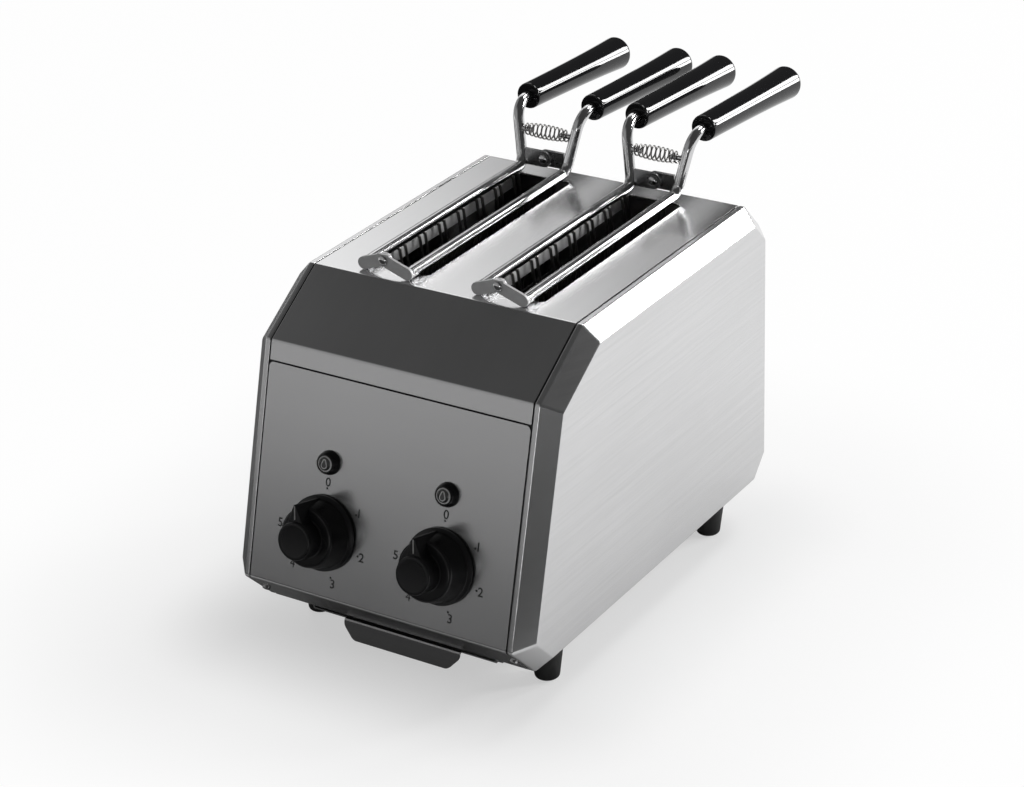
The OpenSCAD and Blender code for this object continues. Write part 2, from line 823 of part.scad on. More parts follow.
module earth_stud() {
    color("goldenrod") on_rear(stud_x, gland_z) {
        translate([0, 0, -sheet - stud_in]) cylinder(d = stud_d, h = sheet + stud_in + stud_out);
        translate([0, 0, -sheet - stud_nut_h]) cylinder(d = 2 * stud_d, h = stud_nut_h, $fn = 6);
        cylinder(d = 2 * stud_d, h = stud_nut_h / 2, $fn = 6);
    }
}

wire_d = 2.6;
wire_bend = 6;
wire_x = x_side - bevel_w;

// Insulated lead from the terminal block, along the side, to a timer or an end cap
module wire(pts) {
    bent_bar(pts, wire_d / 2, wire_bend, [0, 0, 1], 10);
}

module internal_wires() {
    timer_back = -sheet - timer_depth;
    timer_y = y_front + dial_y - timer_back * cos(panel_lean);
    timer_z = p_low[1] + dial_up * up_slope[1] + timer_back * sin(panel_lean);
    end_y = timer_y + (gland_z + wire_d / 2 - timer_z) * tan(panel_lean);
    block_y = y_rear - sheet - terminal_size[1];
    turn_y = end_y + 3 * wire_bend;
    color("firebrick") for (s = [-1, 1]) {
        start = [terminal_x + s * terminal_size[0] / 4, block_y - wire_d / 2, gland_z];
        behind = [s * wire_x, block_y - wire_d / 2, gland_z];
        beside = [s * wire_x, turn_y, gland_z];
        ahead = [s * dial_x, turn_y, gland_z];
        wire([start, behind, beside, ahead, [s * dial_x, end_y, gland_z]]);
    }
}

// Crumb tray
tray_z = z_floor - tray_gap - tray_wall - tray_gap - tray_t;
tray_front = y_front + toe + 1.5;
tray_w = 2 * (foot_x - foot_top_d / 2 - tray_clear - sheet - tray_gap);
tray_notch = 0.5;
runner_lip = 6;
runner_setback = 6;
runner_len = tray_len - 10;
flap_corner = 7.5;
flap_side = 4;
flap_bend = 2 * tray_t;
flap_land = 4 * tray_t;
flap_edge = [-flap_lean, tray_t - flap_h];
flap_outer = [[flap_land, tray_t], [0, tray_t], flap_edge];
flap_inner = [[flap_land, 0], moved_corner(flap_outer[0], flap_outer[1], flap_edge, tray_t),
    flap_edge + tray_t * turn_left(unit(flap_edge - flap_outer[1]))];

module crumb_tray() {
    color(steel) translate([0, tray_front, tray_z]) {
        translate([-tray_w / 2, flap_bend, 0]) cube([tray_w, tray_len - flap_bend, tray_t]);
        intersection() {
            across(-flap_w / 2, flap_w / 2) polygon(concat(rounded_path(flap_outer, flap_bend),
                reversed(rounded_path(flap_inner, flap_bend - tray_t))));
            along(-flap_lean - 1, flap_land + 1)
                polygon([[-flap_w / 2, tray_t + 1], [-flap_w / 2, tray_t - flap_side],
                    [flap_corner - flap_w / 2, tray_t - flap_h], [flap_w / 2 - flap_corner, tray_t - flap_h],
                    [flap_w / 2, tray_t - flap_side], [flap_w / 2, tray_t + 1]]);
        }
    }
}

// Side and rear walls of the tray, with open notches at the rear corners
module tray_walls() {
    color(steel) translate([0, tray_front, tray_z + tray_t]) {
        for (x = [-tray_w / 2, tray_w / 2 - tray_t])
            translate([x, flap_bend, 0]) cube([tray_t, tray_len - flap_bend, tray_wall]);
        translate([tray_t + tray_notch - tray_w / 2, tray_len - tray_t, 0])
            cube([tray_w - 2 * tray_t - 2 * tray_notch, tray_t, tray_wall]);
    }
}

module tray_runners() {
    web_x = tray_w / 2 + tray_gap;
    lip_z = tray_z - tray_gap - sheet;
    color(steel) for (side = [0, 1])
        mirror([side, 0, 0]) translate([web_x, tray_front + runner_setback, 0]) {
            translate([0, 0, lip_z]) cube([sheet, runner_len, z_floor - lip_z]);
            translate([-runner_lip, 0, lip_z]) cube([runner_lip, runner_len, sheet]);
        }
}

// Tongs: side is -1 for the left arm and 1 for the right arm of a tong at x
left_tong_x = tong_shift - slot_x;
right_tong_x = slot_x + tong_shift;
rod_r = rod_d / 2;
rod_z = z_top + rod_rest + rod_r;
pivot_z = z_top + pivot_h;
link_gap = 0.3;
front_link_y = slot_front - rod_overhang - 2 * link_t - link_gap;
back_link_y = slot_front - rod_overhang - link_t;
heel_y = slot_rear + rod_heel;
spring_share = spring_up / upright_rise;
spring_y = heel_y + upright_back * spring_share;
spring_z = rod_z + spring_up;
spring_half_x = rod_spread / 2 + (handle_spread - rod_spread) / 2 * spring_share;
tang = 70;
handle_dir = [0, cos(handle_droop), -sin(handle_droop)];

function link_y(side) = side < 0 ? back_link_y : front_link_y;
function upper_bend(x, side) = [x + side * handle_spread / 2, heel_y + upright_back, rod_z + upright_rise];
function rod_points(x, side) = [
    [x + side * rod_spread / 2, link_y(side) + link_t, rod_z],
    [x + side * rod_spread / 2, heel_y, rod_z],
    upper_bend(x, side),
    upper_bend(x, side) + handle_dir * (handle_gap + tang)];

module tong_rod(x, side) {
    bent_bar(rod_points(x, side), rod_r, [rod_bend, grip_bend], [1, 0, 0], 28);
}

peg_d = 3.6;
peg_len = 7;

// Rod with the peg that carries one end of the spring
module tong_arm(x, side) {
    tong_rod(x, side);
    at = [x + side * spring_half_x, spring_y, spring_z];
    bar(at, at - [side * (rod_r + peg_len), 0, 0], peg_d / 2);
}

handle_round = 4;
handle_edge = 0.8;

module tong_handle(x, side) {
    start = upper_bend(x, side) + handle_dir * handle_gap;
    r0 = handle_d / 2;
    r1 = handle_end_d / 2;
    multmatrix(frame_along(start, handle_dir)) difference() {
        rotate_extrude() polygon(concat([[0, 0], [r0 - handle_edge, 0], [r0, handle_edge]],
            [for (a = [0:15:90])
                [r1 - handle_round, handle_len - handle_round] + handle_round * [cos(a), sin(a)]],
            [[0, handle_len]]));
        translate([0, 0, -1]) cylinder(r = rod_r, h = tang + 1);
    }
}

jaw_mid = slot_mid - 0.6;
jaw_start = rod_spread / 2 - 2.6;
weld_x = rod_spread / 2 - jaw_start - hairpin_d / 2;
weld_z = rod_z - sqrt(rod_r * rod_r - weld_x * weld_x);

module tong_jaw(x, side) {
    leg = hairpin_w / 2;
    tip_z = z_top - jaw_depth;
    tip_x = x + side * (jaw_tip_gap + hairpin_d) / 2;
    top_x = x + side * jaw_start;
    across_leg = [weld_z - tip_z, 0, tip_x - top_x];
    for (i = [0:hairpins - 1]) {
        y = jaw_mid + (i - (hairpins - 1) / 2) * hairpin_pitch;
        bent_bar([[top_x, y - leg, weld_z], [tip_x, y - leg, tip_z], [tip_x, y + leg, tip_z],
            [top_x, y + leg, weld_z]], hairpin_d / 2, leg - 0.2, across_leg, 8);
    }
}

// Flat bar with round ends, drawn in (x, z)
module flat_link(a, b, w) {
    n = turn_left(unit(b - a)) * w / 2;
    translate(a) circle(d = w);
    translate(b) circle(d = w);
    polygon([a + n, a - n, b - n, b + n]);
}

rear_link_mid = heel_y + upright_back * (pivot_z - rod_z) / upright_rise;

module tong_links(x, side) {
    pivot = [x, pivot_z];
    foot = [x + side * rod_spread / 2, rod_z + (front_link_w - rod_d) / 2];
    tail = [x + side * rod_spread / 2, pivot_z];
    rear_y = side < 0 ? rear_link_mid - link_t - link_gap / 2 : rear_link_mid + link_gap / 2;
    hole = rivet_d + 2 * run_fit;
    along(link_y(side), link_y(side) + link_t) difference() {
        union() {
            flat_link(foot, pivot, front_link_w);
            if (side > 0) translate(pivot) square(front_link_w, center = true);
        }
        translate(pivot) circle(d = hole);
    }
    difference() {
        along(rear_y, rear_y + link_t) difference() {
            union() {
                translate(pivot) circle(d = rear_link_w);
                translate([min(x, tail[0]), pivot_z - rear_link_w / 2]) square([rod_spread / 2, rear_link_w]);
            }
            translate(pivot) circle(d = hole);
        }
        tong_rod(x, side);
    }
}

rivet_head_d = 1.6 * rivet_d;
rivet_head_h = 1.4;

module rivet(x, y0) {
    grip = 2 * link_t + 3 * link_gap;
    translate([x, y0 - link_gap, pivot_z]) rotate([-90, 0, 0]) {
        cylinder(d = rivet_d, h = grip);
        translate([0, 0, -rivet_head_h])
            cylinder(d1 = rivet_head_d - 1.6, d2 = rivet_head_d, h = rivet_head_h);
        translate([0, 0, grip]) cylinder(d1 = rivet_head_d, d2 = rivet_head_d - 1.6, h = rivet_head_h);
    }
}

module tong_rivets(x) {
    rivet(x, front_link_y);
    rivet(x, rear_link_mid - link_t - link_gap / 2);
}

// Barrel-shaped helical spring along X between the two uprights
spring_rings = 8;
spring_sides = 6;
spring_seat = 0.3;
spring_len = 2 * (spring_half_x - rod_r - spring_seat) - 2 * spring_wire;
spring_count = spring_turns * spring_rings;

function spring_radius(t) = (spring_end_d + (spring_mid_d - spring_end_d) * sin(180 * t)) / 2;
function spring_turn(k) = 360 * k / spring_rings;
function spring_out(k) = [0, cos(spring_turn(k)), sin(spring_turn(k))];
function spring_point(k) = let (t = k / spring_count)
    [(t - 0.5) * spring_len, 0, 0] + spring_radius(t) * spring_out(k);
spring_path = concat([spring_point(0) - [spring_wire, 0, 0]], [for (k = [0:spring_count]) spring_point(k)],
    [spring_point(spring_count) + [spring_wire, 0, 0]]);
spring_outs = concat([spring_out(0)], [for (k = [0:spring_count]) spring_out(k)], [spring_out(spring_count)]);

function path_dir(i) = unit(spring_path[min(i + 1, len(spring_path) - 1)] - spring_path[max(i - 1, 0)]);
function spring_ring(i) = let (
    d = path_dir(i),
    e = unit(spring_outs[i] - d * (d * spring_outs[i])),
    f = cross(d, e))
    [for (s = [0:spring_sides - 1]) spring_path[i]
        + spring_wire / 2 * (cos(360 * s / spring_sides) * e + sin(360 * s / spring_sides) * f)];

spring_least_gap = min([for (i = [0:len(spring_path) - 2])
    for (j = [i + spring_rings / 2:1:len(spring_path) - 1]) norm(spring_path[i] - spring_path[j])]) - spring_wire;
echo(spring_least_gap = spring_least_gap);

module tong_spring(x) {
    rings = [for (i = [0:len(spring_path) - 1]) spring_ring(i)];
    translate([x, spring_y, spring_z]) loft(rings);
}

module left_tong_rivets() {
    color(steel) tong_rivets(left_tong_x);
}

module left_tong_left_rod() {
    color(steel) tong_arm(left_tong_x, -1);
}

module left_tong_right_rod() {
    color(steel) tong_arm(left_tong_x, 1);
}

module left_tong_left_handle() {
    color(dark) tong_handle(left_tong_x, -1);
}

module left_tong_right_handle() {
    color(dark) tong_handle(left_tong_x, 1);
}

module left_tong_left_jaw() {
    color(steel) tong_jaw(left_tong_x, -1);
}

module left_tong_right_jaw() {
    color(steel) tong_jaw(left_tong_x, 1);
}

module left_tong_left_links() {
    color(steel) tong_links(left_tong_x, -1);
}

module left_tong_right_links() {
    color(steel) tong_links(left_tong_x, 1);
}

module left_tong_spring() {
    color(steel) tong_spring(left_tong_x);
}

module right_tong_rivets() {
    color(steel) tong_rivets(right_tong_x);
}

module right_tong_left_rod() {
    color(steel) tong_arm(right_tong_x, -1);
}

module right_tong_right_rod() {
    color(steel) tong_arm(right_tong_x, 1);
}

module right_tong_left_handle() {
    color(dark) tong_handle(right_tong_x, -1);
}

module right_tong_right_handle() {
    color(dark) tong_handle(right_tong_x, 1);
}

module right_tong_left_jaw() {
    color(steel) tong_jaw(right_tong_x, -1);
}

module right_tong_right_jaw() {
    color(steel) tong_jaw(right_tong_x, 1);
}

module right_tong_left_links() {
    color(steel) tong_links(right_tong_x, -1);
}

module right_tong_right_links() {
    color(steel) tong_links(right_tong_x, 1);
}

module right_tong_spring() {
    color(steel) tong_spring(right_tong_x);
}

left_side_panel();
right_side_panel();
top_cover();
control_panel();
rear_panel();
base_plate();
tray_runners();
feet();
foot_screws();
cover_screws();
front_bulkhead();
rear_bulkhead();
left_reflector();
right_reflector();
left_heaters();
centre_heaters();
right_heaters();
heater_caps();
left_outer_guard();
left_inner_guard();
right_inner_guard();
right_outer_guard();
left_timer();
right_timer();
timer_screws();
lamp_bezels();
lamp_lenses();
neon_bulbs();
terminal_block();
cord_gland();
earth_stud();
internal_wires();
left_knob();
right_knob();
left_timer_shaft();
right_timer_shaft();
crumb_tray();
tray_walls();
left_tong_rivets();
left_tong_left_rod();
left_tong_right_rod();
left_tong_left_handle();
left_tong_right_handle();
left_tong_left_jaw();
left_tong_right_jaw();
left_tong_left_links();
left_tong_right_links();
left_tong_spring();
right_tong_rivets();
right_tong_left_rod();
right_tong_right_rod();
right_tong_left_handle();
right_tong_right_handle();
right_tong_left_jaw();
right_tong_right_jaw();
right_tong_left_links();
right_tong_right_links();
right_tong_spring();
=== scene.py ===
import json
import math

import bmesh
import bpy
from bpy.props import FloatProperty, FloatVectorProperty, IntProperty, PointerProperty
from mathutils import Matrix, Vector


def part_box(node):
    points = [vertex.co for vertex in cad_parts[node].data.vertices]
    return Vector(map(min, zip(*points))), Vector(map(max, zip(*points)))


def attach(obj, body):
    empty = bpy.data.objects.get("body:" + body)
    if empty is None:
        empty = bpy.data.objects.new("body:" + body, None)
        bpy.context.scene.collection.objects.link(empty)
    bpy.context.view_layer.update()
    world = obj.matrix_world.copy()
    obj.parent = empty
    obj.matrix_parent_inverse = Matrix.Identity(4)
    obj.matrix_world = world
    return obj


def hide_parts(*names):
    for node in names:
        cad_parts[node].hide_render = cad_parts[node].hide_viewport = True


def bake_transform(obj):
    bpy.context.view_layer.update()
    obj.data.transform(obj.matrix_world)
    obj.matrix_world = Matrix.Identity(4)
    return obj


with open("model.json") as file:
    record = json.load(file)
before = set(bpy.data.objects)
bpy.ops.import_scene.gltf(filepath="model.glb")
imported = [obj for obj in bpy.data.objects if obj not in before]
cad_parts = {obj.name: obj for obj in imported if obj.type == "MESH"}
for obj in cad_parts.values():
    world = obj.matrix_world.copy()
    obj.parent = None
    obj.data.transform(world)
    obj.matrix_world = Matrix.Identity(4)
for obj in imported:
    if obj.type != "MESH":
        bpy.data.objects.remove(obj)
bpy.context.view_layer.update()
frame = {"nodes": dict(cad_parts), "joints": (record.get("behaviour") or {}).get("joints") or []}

bl_info = {
    "name": "Tong toaster",
    "version": (1, 0, 0),
    "blender": (4, 5, 0),
    "location": "View3D > Sidebar > Toaster",
    "description": "Dresses the packed toaster with its visible pieces, finishes, light and camera",
    "category": "Object",
}

NODES = frame["nodes"]
JOINTS = {joint["name"]: joint for joint in frame["joints"]}
SIDES = (("left", -1), ("right", 1))
TAU = 2 * math.pi
SMOOTH = 32  # degrees up to which an edge is shaded smooth


def length(name, description, default):
    return FloatProperty(name=name, description=description, default=default, unit="LENGTH", precision=5)


def angle(name, description, degrees):
    return FloatProperty(name=name, description=description, default=math.radians(degrees), subtype="ANGLE")


def count(name, description, default, least):
    return IntProperty(name=name, description=description, default=default, min=least)


def colour(name, description, red, green, blue):
    settings = {"default": (red, green, blue, 1), "subtype": "COLOR", "size": 4, "min": 0, "max": 1}
    return FloatVectorProperty(name=name, description=description, **settings)


def grey(name, description, level):
    return colour(name, description, level, level, level)


class CasingSizes(bpy.types.PropertyGroup):
    width: length("Width", "Width across the two side panels", 0.210)
    depth: length("Depth", "Depth from the lower front bend to the rear panel", 0.302)
    height: length("Height", "Height of the casing above its feet", 0.1966)
    foot: length("Foot", "Height of a foot", 0.024)
    sheet: length("Sheet", "Thickness of the casing sheets", 0.0012)
    bend: length("Bend", "Outside radius of the sheet bends", 0.003)
    edge: length("Edge", "Radius along the bevels of the side panels", 0.0016)
    seam: length("Seam", "Gap between neighbouring sheets", 0.0003)
    shadow: length("Shadow gap", "Visible gap between the covers and the side panels' lips", 0.0008)
    lip_edge: length("Lip edge", "Radius along the edge of the lip", 0.0008)
    lean: angle("Lean", "Lean of the control panel from the vertical", 15.35)
    front: length("Front", "Length of the sloping front", 0.1473)
    visor: angle("Visor", "Tilt of the visor from the horizontal", 32.4)
    toe: length("Toe", "Size of the chamfer under the front", 0.0244)
    chamfer: length("Chamfer", "Size of the rear chamfers", 0.0198)
    strip: length("Strip", "Width of the cover's strip below the visor", 0.0125)
    strip_gap: length("Strip gap", "Gap between the strip and the control panel", 0.0008)
    panel_r: length("Panel corner", "Radius of the control panel's upper corners", 0.003)
    bevel_w: length("Bevel width", "Width of the bevel across the body", 0.0101)
    bevel_in: length("Bevel depth", "Distance from the outline to the bevel's inner edge", 0.0104)
    lip: length("Lip", "Width of the flat lip beside the seam", 0.0034)
    flange: length("Flange", "Width of the flange under the covers", 0.0065)
    slot_pitch: length("Slot pitch", "Distance between the slots", 0.080)
    slot_w: length("Slot width", "Width of a slot", 0.040)
    slot_l: length("Slot length", "Length of a slot", 0.165)
    slot_r: length("Slot corner", "Corner radius of a slot", 0.004)
    slot_back: length("Slot setback", "Distance from the lower front bend to the slots", 0.1014)
    collar: length("Collar", "Depth of the edges turned down along a slot", 0.0085)


class ControlSizes(bpy.types.PropertyGroup):
    pitch: length("Dial pitch", "Distance between the dials", 0.0829)
    dial_up: length("Dial height", "Height of the dials up the panel", 0.03985)
    lamp_up: length("Lamp height", "Height of the lamps up the panel", 0.0828)
    knob_h: length("Knob height", "Height of a knob above the panel", 0.030)
    knob_d: length("Knob skirt", "Diameter of a knob's skirt", 0.046)
    drum_d: length("Knob drum", "Diameter of a knob's drum", 0.0412)
    drum_h: length("Drum height", "Height of a knob's drum", 0.018)
    nose_d: length("Knob nose", "Diameter of a knob's nose", 0.023)
    reach: length("Pointer reach", "Reach of the pointer from the knob's axis", 0.0216)
    gap: length("Knob gap", "Gap between a knob and the panel", 0.0008)
    rest: angle("Pointer rest", "Turn of the pointer before its zero mark", 8)
    dot_r: length("Dot circle", "Radius of the circle of dots round a dial", 0.02716)
    figure_h: length("Figure height", "Height of a figure", 0.0054)
    step: angle("Dial step", "Turn from one figure to the next", 54)
    lamp_d: length("Lamp bezel", "Diameter of a lamp's bezel", 0.0148)
    lens_d: length("Lamp lens", "Diameter of a lamp's lens", 0.0098)
    lamp_h: length("Lamp height above", "Height of a lamp's bezel", 0.0054)


class TraySizes(bpy.types.PropertyGroup):
    sheet: length("Tray sheet", "Thickness of the tray sheet", 0.001)
    bend: length("Flap bend", "Outside radius of the bend above the flap", 0.002)
    flap_w: length("Flap width", "Width of the pull flap", 0.083)
    flap_lean: length("Flap lean", "Forward lean of the flap over its height", 0.003)
    flap_side: length("Flap side", "Height of the flap's upright sides", 0.004)
    flap_corner: length("Flap corner", "Width of the flap's slanting corners", 0.0075)
    flap_r: length("Flap rounding", "Radius along the flap's corners", 0.0055)


class TongSizes(bpy.types.PropertyGroup):
    rod: length("Rod", "Diameter of the rods", 0.007)
    spread: length("Rod spread", "Distance between a tong's rods", 0.0322)
    handle_spread: length("Handle spread", "Distance between a tong's handles", 0.0476)
    rest: length("Rest gap", "Gap under the rods", 0.0003)
    overhang: length("Overhang", "Reach of the rods past the slot's front end", 0.0072)
    heel: length("Heel", "Reach of the rods past the slot's rear end", 0.0055)
    rise: length("Rise", "Rise of the uprights", 0.0385)
    back: length("Back lean", "Backward lean of the uprights", 0.0077)
    bend: length("Rod bend", "Radius of the rods' lower bends", 0.008)
    grip_bend: length("Grip bend", "Radius of the rods' upper bends", 0.013)
    handle_gap: length("Handle gap", "Distance from the upper bend to the handle", 0.0135)
    handle_l: length("Handle length", "Length of a handle", 0.115)
    handle_d: length("Handle front", "Diameter of a handle at its front", 0.017)
    handle_end: length("Handle end", "Diameter of a handle at its rear", 0.022)
    droop: angle("Droop", "Droop of the handles", 3.3)
    link_t: length("Link thickness", "Thickness of the link plates", 0.002)
    link_gap: length("Link gap", "Gap between link plates", 0.0003)
    front_link: length("Front link", "Height of the front link plates", 0.008)
    rear_link: length("Rear link", "Height of the rear link plates", 0.011)
    rivet: length("Rivet", "Diameter of the pivot rivets", 0.004)
    hairpins: count("Hairpins", "Number of hairpins in a jaw", 8, 1)
    hairpin_pitch: length("Hairpin pitch", "Distance between hairpins", 0.0215)
    hairpin_d: length("Hairpin wire", "Diameter of the hairpin wire", 0.002)
    hairpin_w: length("Hairpin width", "Distance between a hairpin's legs", 0.006)
    jaw_depth: length("Jaw depth", "Reach of the jaws below the cover", 0.078)
    tip_gap: length("Tip gap", "Distance between the jaws at their tips", 0.0046)
    spring_turns: count("Spring turns", "Turns of a spring", 10, 3)
    spring_wire: length("Spring wire", "Diameter of the spring wire", 0.0011)
    spring_end: length("Spring end", "Middle diameter of a spring at its ends", 0.0064)
    spring_mid: length("Spring middle", "Middle diameter of a spring halfway along", 0.0088)
    spring_up: length("Spring height", "Height of the springs above the rods", 0.0226)


class FinishColours(bpy.types.PropertyGroup):
    steel: colour("Steel", "Brushed casing steel", 0.66, 0.66, 0.665)
    bright: colour("Bright steel", "Bright wire and plates of the tongs", 0.62, 0.62, 0.625)
    black: colour("Black gloss", "Handles and knobs", 0.010, 0.010, 0.011)
    # on the tray's bend this pale grey is a painted highlight
    collar: grey("Collar", "Matt turned-down edges of the slots, and the tray's bend", 0.82)
    spring: colour("Spring steel", "Springs and heat-stained jaw wires", 0.24, 0.235, 0.23)
    rubber: grey("Rubber", "Feet and gland", 0.014)
    print: grey("Print", "Printed dial marks", 0.012)
    paint: colour("Pointer paint", "Greyed paint of the pointer line", 0.32, 0.32, 0.315)
    lens: grey("Lens", "Lamp lens", 0.03)
    lens_ring: grey("Lens ring", "Pale ring and bulb of a lamp", 0.7)
    ceramic: colour("Ceramic", "Caps and terminal block", 0.72, 0.69, 0.62)
    quartz: colour("Quartz", "Heater tubes", 0.62, 0.60, 0.56)
    brass: colour("Brass", "Earth stud", 0.62, 0.46, 0.18)
    wire: colour("Lead", "Insulated leads", 0.22, 0.05, 0.04)


class Tone:
    """A node socket with arithmetic: an expression on tones adds its Math nodes."""

    def __init__(self, finish, socket):
        self.finish = finish
        self.socket = socket

    def math(self, operation, *values):
        inputs = dict(enumerate(values))
        return self.finish.node("ShaderNodeMath", {"operation": operation}, inputs)

    def __add__(self, other):
        return self.math("ADD", self, other)

    def __sub__(self, other):
        return self.math("SUBTRACT", self, other)

    def __rsub__(self, other):
        return self.math("SUBTRACT", other, self)

    def __mul__(self, other):
        return self.math("MULTIPLY", self, other)

    __radd__ = __add__
    __rmul__ = __mul__

    def over(self, low, high):
        """0 at low, 1 at high, smooth between."""
        settings = {"interpolation_type": "SMOOTHSTEP"}
        inputs = {"Value": self, "From Min": low, "From Max": high}
        return self.finish.node("ShaderNodeMapRange", settings, inputs)


class Finish:
    """The node tree of a material or world, filled by calls."""

    def __init__(self, block):
        block.use_nodes = True
        self.block = block
        self.tree = block.node_tree
        self.tree.nodes.clear()

    def node(self, kind, settings=None, inputs=None, out=0):
        made = self.tree.nodes.new(kind)
        for key, value in (settings or {}).items():
            setattr(made, key, value)
        for key, value in (inputs or {}).items():
            if isinstance(value, Tone):
                self.tree.links.new(value.socket, made.inputs[key])
            else:
                made.inputs[key].default_value = value
        return Tone(self, made.outputs[out])

    def close(self, shader, kind="ShaderNodeOutputMaterial"):
        made = self.tree.nodes.new(kind)
        self.tree.links.new(shader.socket, made.inputs["Surface"])
        return self.block

    def place(self, scale):
        """Object coordinates in metres, stretched by scale."""
        coords = self.node("ShaderNodeTexCoord", out="Object")
        return self.node("ShaderNodeMapping", None, {"Vector": coords, "Scale": scale})

    def noise(self, scale, detail=2.0, roughness=0.5):
        """Noise with one scale for all axes, or one for each."""
        vector = self.place(scale if isinstance(scale, tuple) else (scale, scale, scale))
        inputs = {"Vector": vector, "Scale": 1.0, "Detail": detail, "Roughness": roughness}
        return self.node("ShaderNodeTexNoise", None, inputs)

    def tint(self, base, amount):
        """Base colour scaled by an amount that varies over the surface."""
        amounts = self.node("ShaderNodeCombineXYZ", None, dict.fromkeys(range(3), amount))
        inputs = {0: tuple(base)[:3], 1: amounts}
        return self.node("ShaderNodeVectorMath", {"operation": "MULTIPLY"}, inputs)

    def bump(self, height, strength, distance):
        inputs = {"Height": height, "Strength": strength, "Distance": distance}
        return self.node("ShaderNodeBump", None, inputs)

    def principled(self, base, amount, rough, **inputs):
        """Closes the tree with a surface of the base colour scaled by amount."""
        named = {key.replace("_", " "): value for key, value in inputs.items()}
        named.update({"Base Color": self.tint(base, amount), "Roughness": rough})
        return self.close(self.node("ShaderNodeBsdfPrincipled", None, named))


def new_finish(name):
    return Finish(bpy.data.materials.new(name))


def brushed_steel(name, base, grain, rough, contrast):
    """Sheet steel with fine parallel grain; grain names the axes along which it hardly changes."""
    f = new_finish(name)
    hair = f.noise(tuple(26.0 if axis in grain else 950.0 for axis in "XYZ"), 3.0, 0.65)
    streak = f.noise(tuple(7.0 if axis in grain else 520.0 for axis in "XYZ"))
    cloud = f.noise(14.0)
    amount = 1.0 + (hair - 0.5) * contrast + (streak - 0.5) * contrast + (cloud - 0.5) * 0.06
    spread = rough + (hair - 0.5) * 0.05 + (cloud - 0.5) * 0.05
    normal = f.bump(hair * 0.6 + streak * 0.4, 0.03, 0.00006)
    return f.principled(base, amount, spread, Metallic=1.0, Normal=normal)


def bright_wire(name, base, rough):
    """Drawn and polished wire with faint draw marks and handling smears."""
    f = new_finish(name)
    marks = f.noise((900.0, 60.0, 900.0), 2.0, 0.6)
    smear = f.noise((38.0, 20.0, 38.0), 3.0, 0.55)
    amount = 0.94 + marks * 0.06 + smear * 0.05
    spread = rough + (smear - 0.5) * 0.12 + (marks - 0.5) * 0.05
    return f.principled(base, amount, spread, Metallic=1.0, Normal=f.bump(marks, 0.06, 0.00004))


def gloss_black(name, base, rough):
    """Moulded thermoset with a deep gloss, faint swirls and a little dust."""
    f = new_finish(name)
    swirl = f.noise(26.0, 1.0)
    dust = f.noise(1500.0, 1.0, 0.4).over(0.76, 0.84)
    amount = 0.85 + swirl * 0.3 + dust * 1.2
    spread = rough + (swirl - 0.5) * 0.03
    normal = f.bump(swirl, 0.02, 0.0001)
    return f.principled(base, amount, spread, Normal=normal, Specular_IOR_Level=0.35)


def matt_black(name, base, rough):
    """Rubber, print or card with a fine spark texture."""
    f = new_finish(name)
    spark = f.noise(1900.0, 2.0, 0.6)
    cloud = f.noise(70.0)
    amount = 0.8 + spark * 0.2 + cloud * 0.3
    spread = rough + (cloud - 0.5) * 0.12
    return f.principled(base, amount, spread, Normal=f.bump(spark, 0.25, 0.0001))


def plain_moulding(name, base, rough, metal=0.0):
    """Small pieces, moulded, sintered, painted or plated, with a soft mottle."""
    f = new_finish(name)
    mottle = f.noise(160.0, 3.0, 0.55)
    spread = rough + (mottle - 0.5) * 0.15
    normal = f.bump(mottle, 0.08, 0.0002)
    return f.principled(base, 0.86 + mottle * 0.28, spread, Metallic=metal, Normal=normal)


def cloudy_lens(name, base):
    """Dark lens with a faint mottle under a clear coat."""
    f = new_finish(name)
    mottle = f.noise(420.0, 3.0, 0.6)
    return f.principled(base, 0.7 + mottle * 0.6, 0.18 + mottle * 0.1, Coat_Weight=0.3)


# name: maker, colour in the sidebar, share of that colour, the maker's other values
RECIPES = {
    "side_steel": (brushed_steel, "steel", 1.0, "XY", 0.25, 0.11),
    "cover_steel": (brushed_steel, "steel", 1.0, "YZ", 0.23, 0.05),
    "panel_steel": (brushed_steel, "steel", 1.0, "X", 0.25, 0.05),
    "inner_steel": (brushed_steel, "steel", 0.55, "Y", 0.42, 0.10),
    # steel at an eighth of its colour for the seams beside the covers: painted shade
    "flange_steel": (brushed_steel, "steel", 0.12, "Y", 0.55, 0.10),
    # the tray's steel at a quarter of the steel colour: painted shade for the dark floor that the flap
    # mirrors
    "tray_steel": (brushed_steel, "steel", 0.25, "X", 0.30, 0.06),
    "bright_wire": (bright_wire, "bright", 1.0, 0.13),
    "jaw_wire": (bright_wire, "spring", 1.0, 0.30),
    "spring_steel": (bright_wire, "spring", 1.5, 0.20),
    "guard_wire": (bright_wire, "bright", 0.7, 0.25),
    "collar_steel": (plain_moulding, "collar", 1.0, 0.45, 0.2),
    # the link plates are all one bright steel: the rear ones darker as painted shade, the front ones paler
    # and matt as painted light
    "link_plate": (bright_wire, "bright", 0.72, 0.26),
    "front_link": (plain_moulding, "bright", 1.0, 0.40, 0.25),
    "screw_plate": (bright_wire, "bright", 0.7, 0.24),
    "gloss_black": (gloss_black, "black", 1.0, 0.07),
    "knob_black": (gloss_black, "black", 1.1, 0.26),
    "rubber": (matt_black, "rubber", 1.0, 0.62),
    "dial_print": (matt_black, "print", 1.0, 0.45),
    "pointer_paint": (plain_moulding, "paint", 1.0, 0.45),
    "lamp_lens": (cloudy_lens, "lens", 1.0),
    "lens_ring": (plain_moulding, "lens_ring", 1.0, 0.35),
    "ceramic": (plain_moulding, "ceramic", 1.0, 0.6),
    "quartz": (plain_moulding, "quartz", 1.0, 0.22),
    "brass": (plain_moulding, "brass", 1.0, 0.3, 1.0),
    "lead": (plain_moulding, "wire", 1.0, 0.5),
}
FINISHES = {}


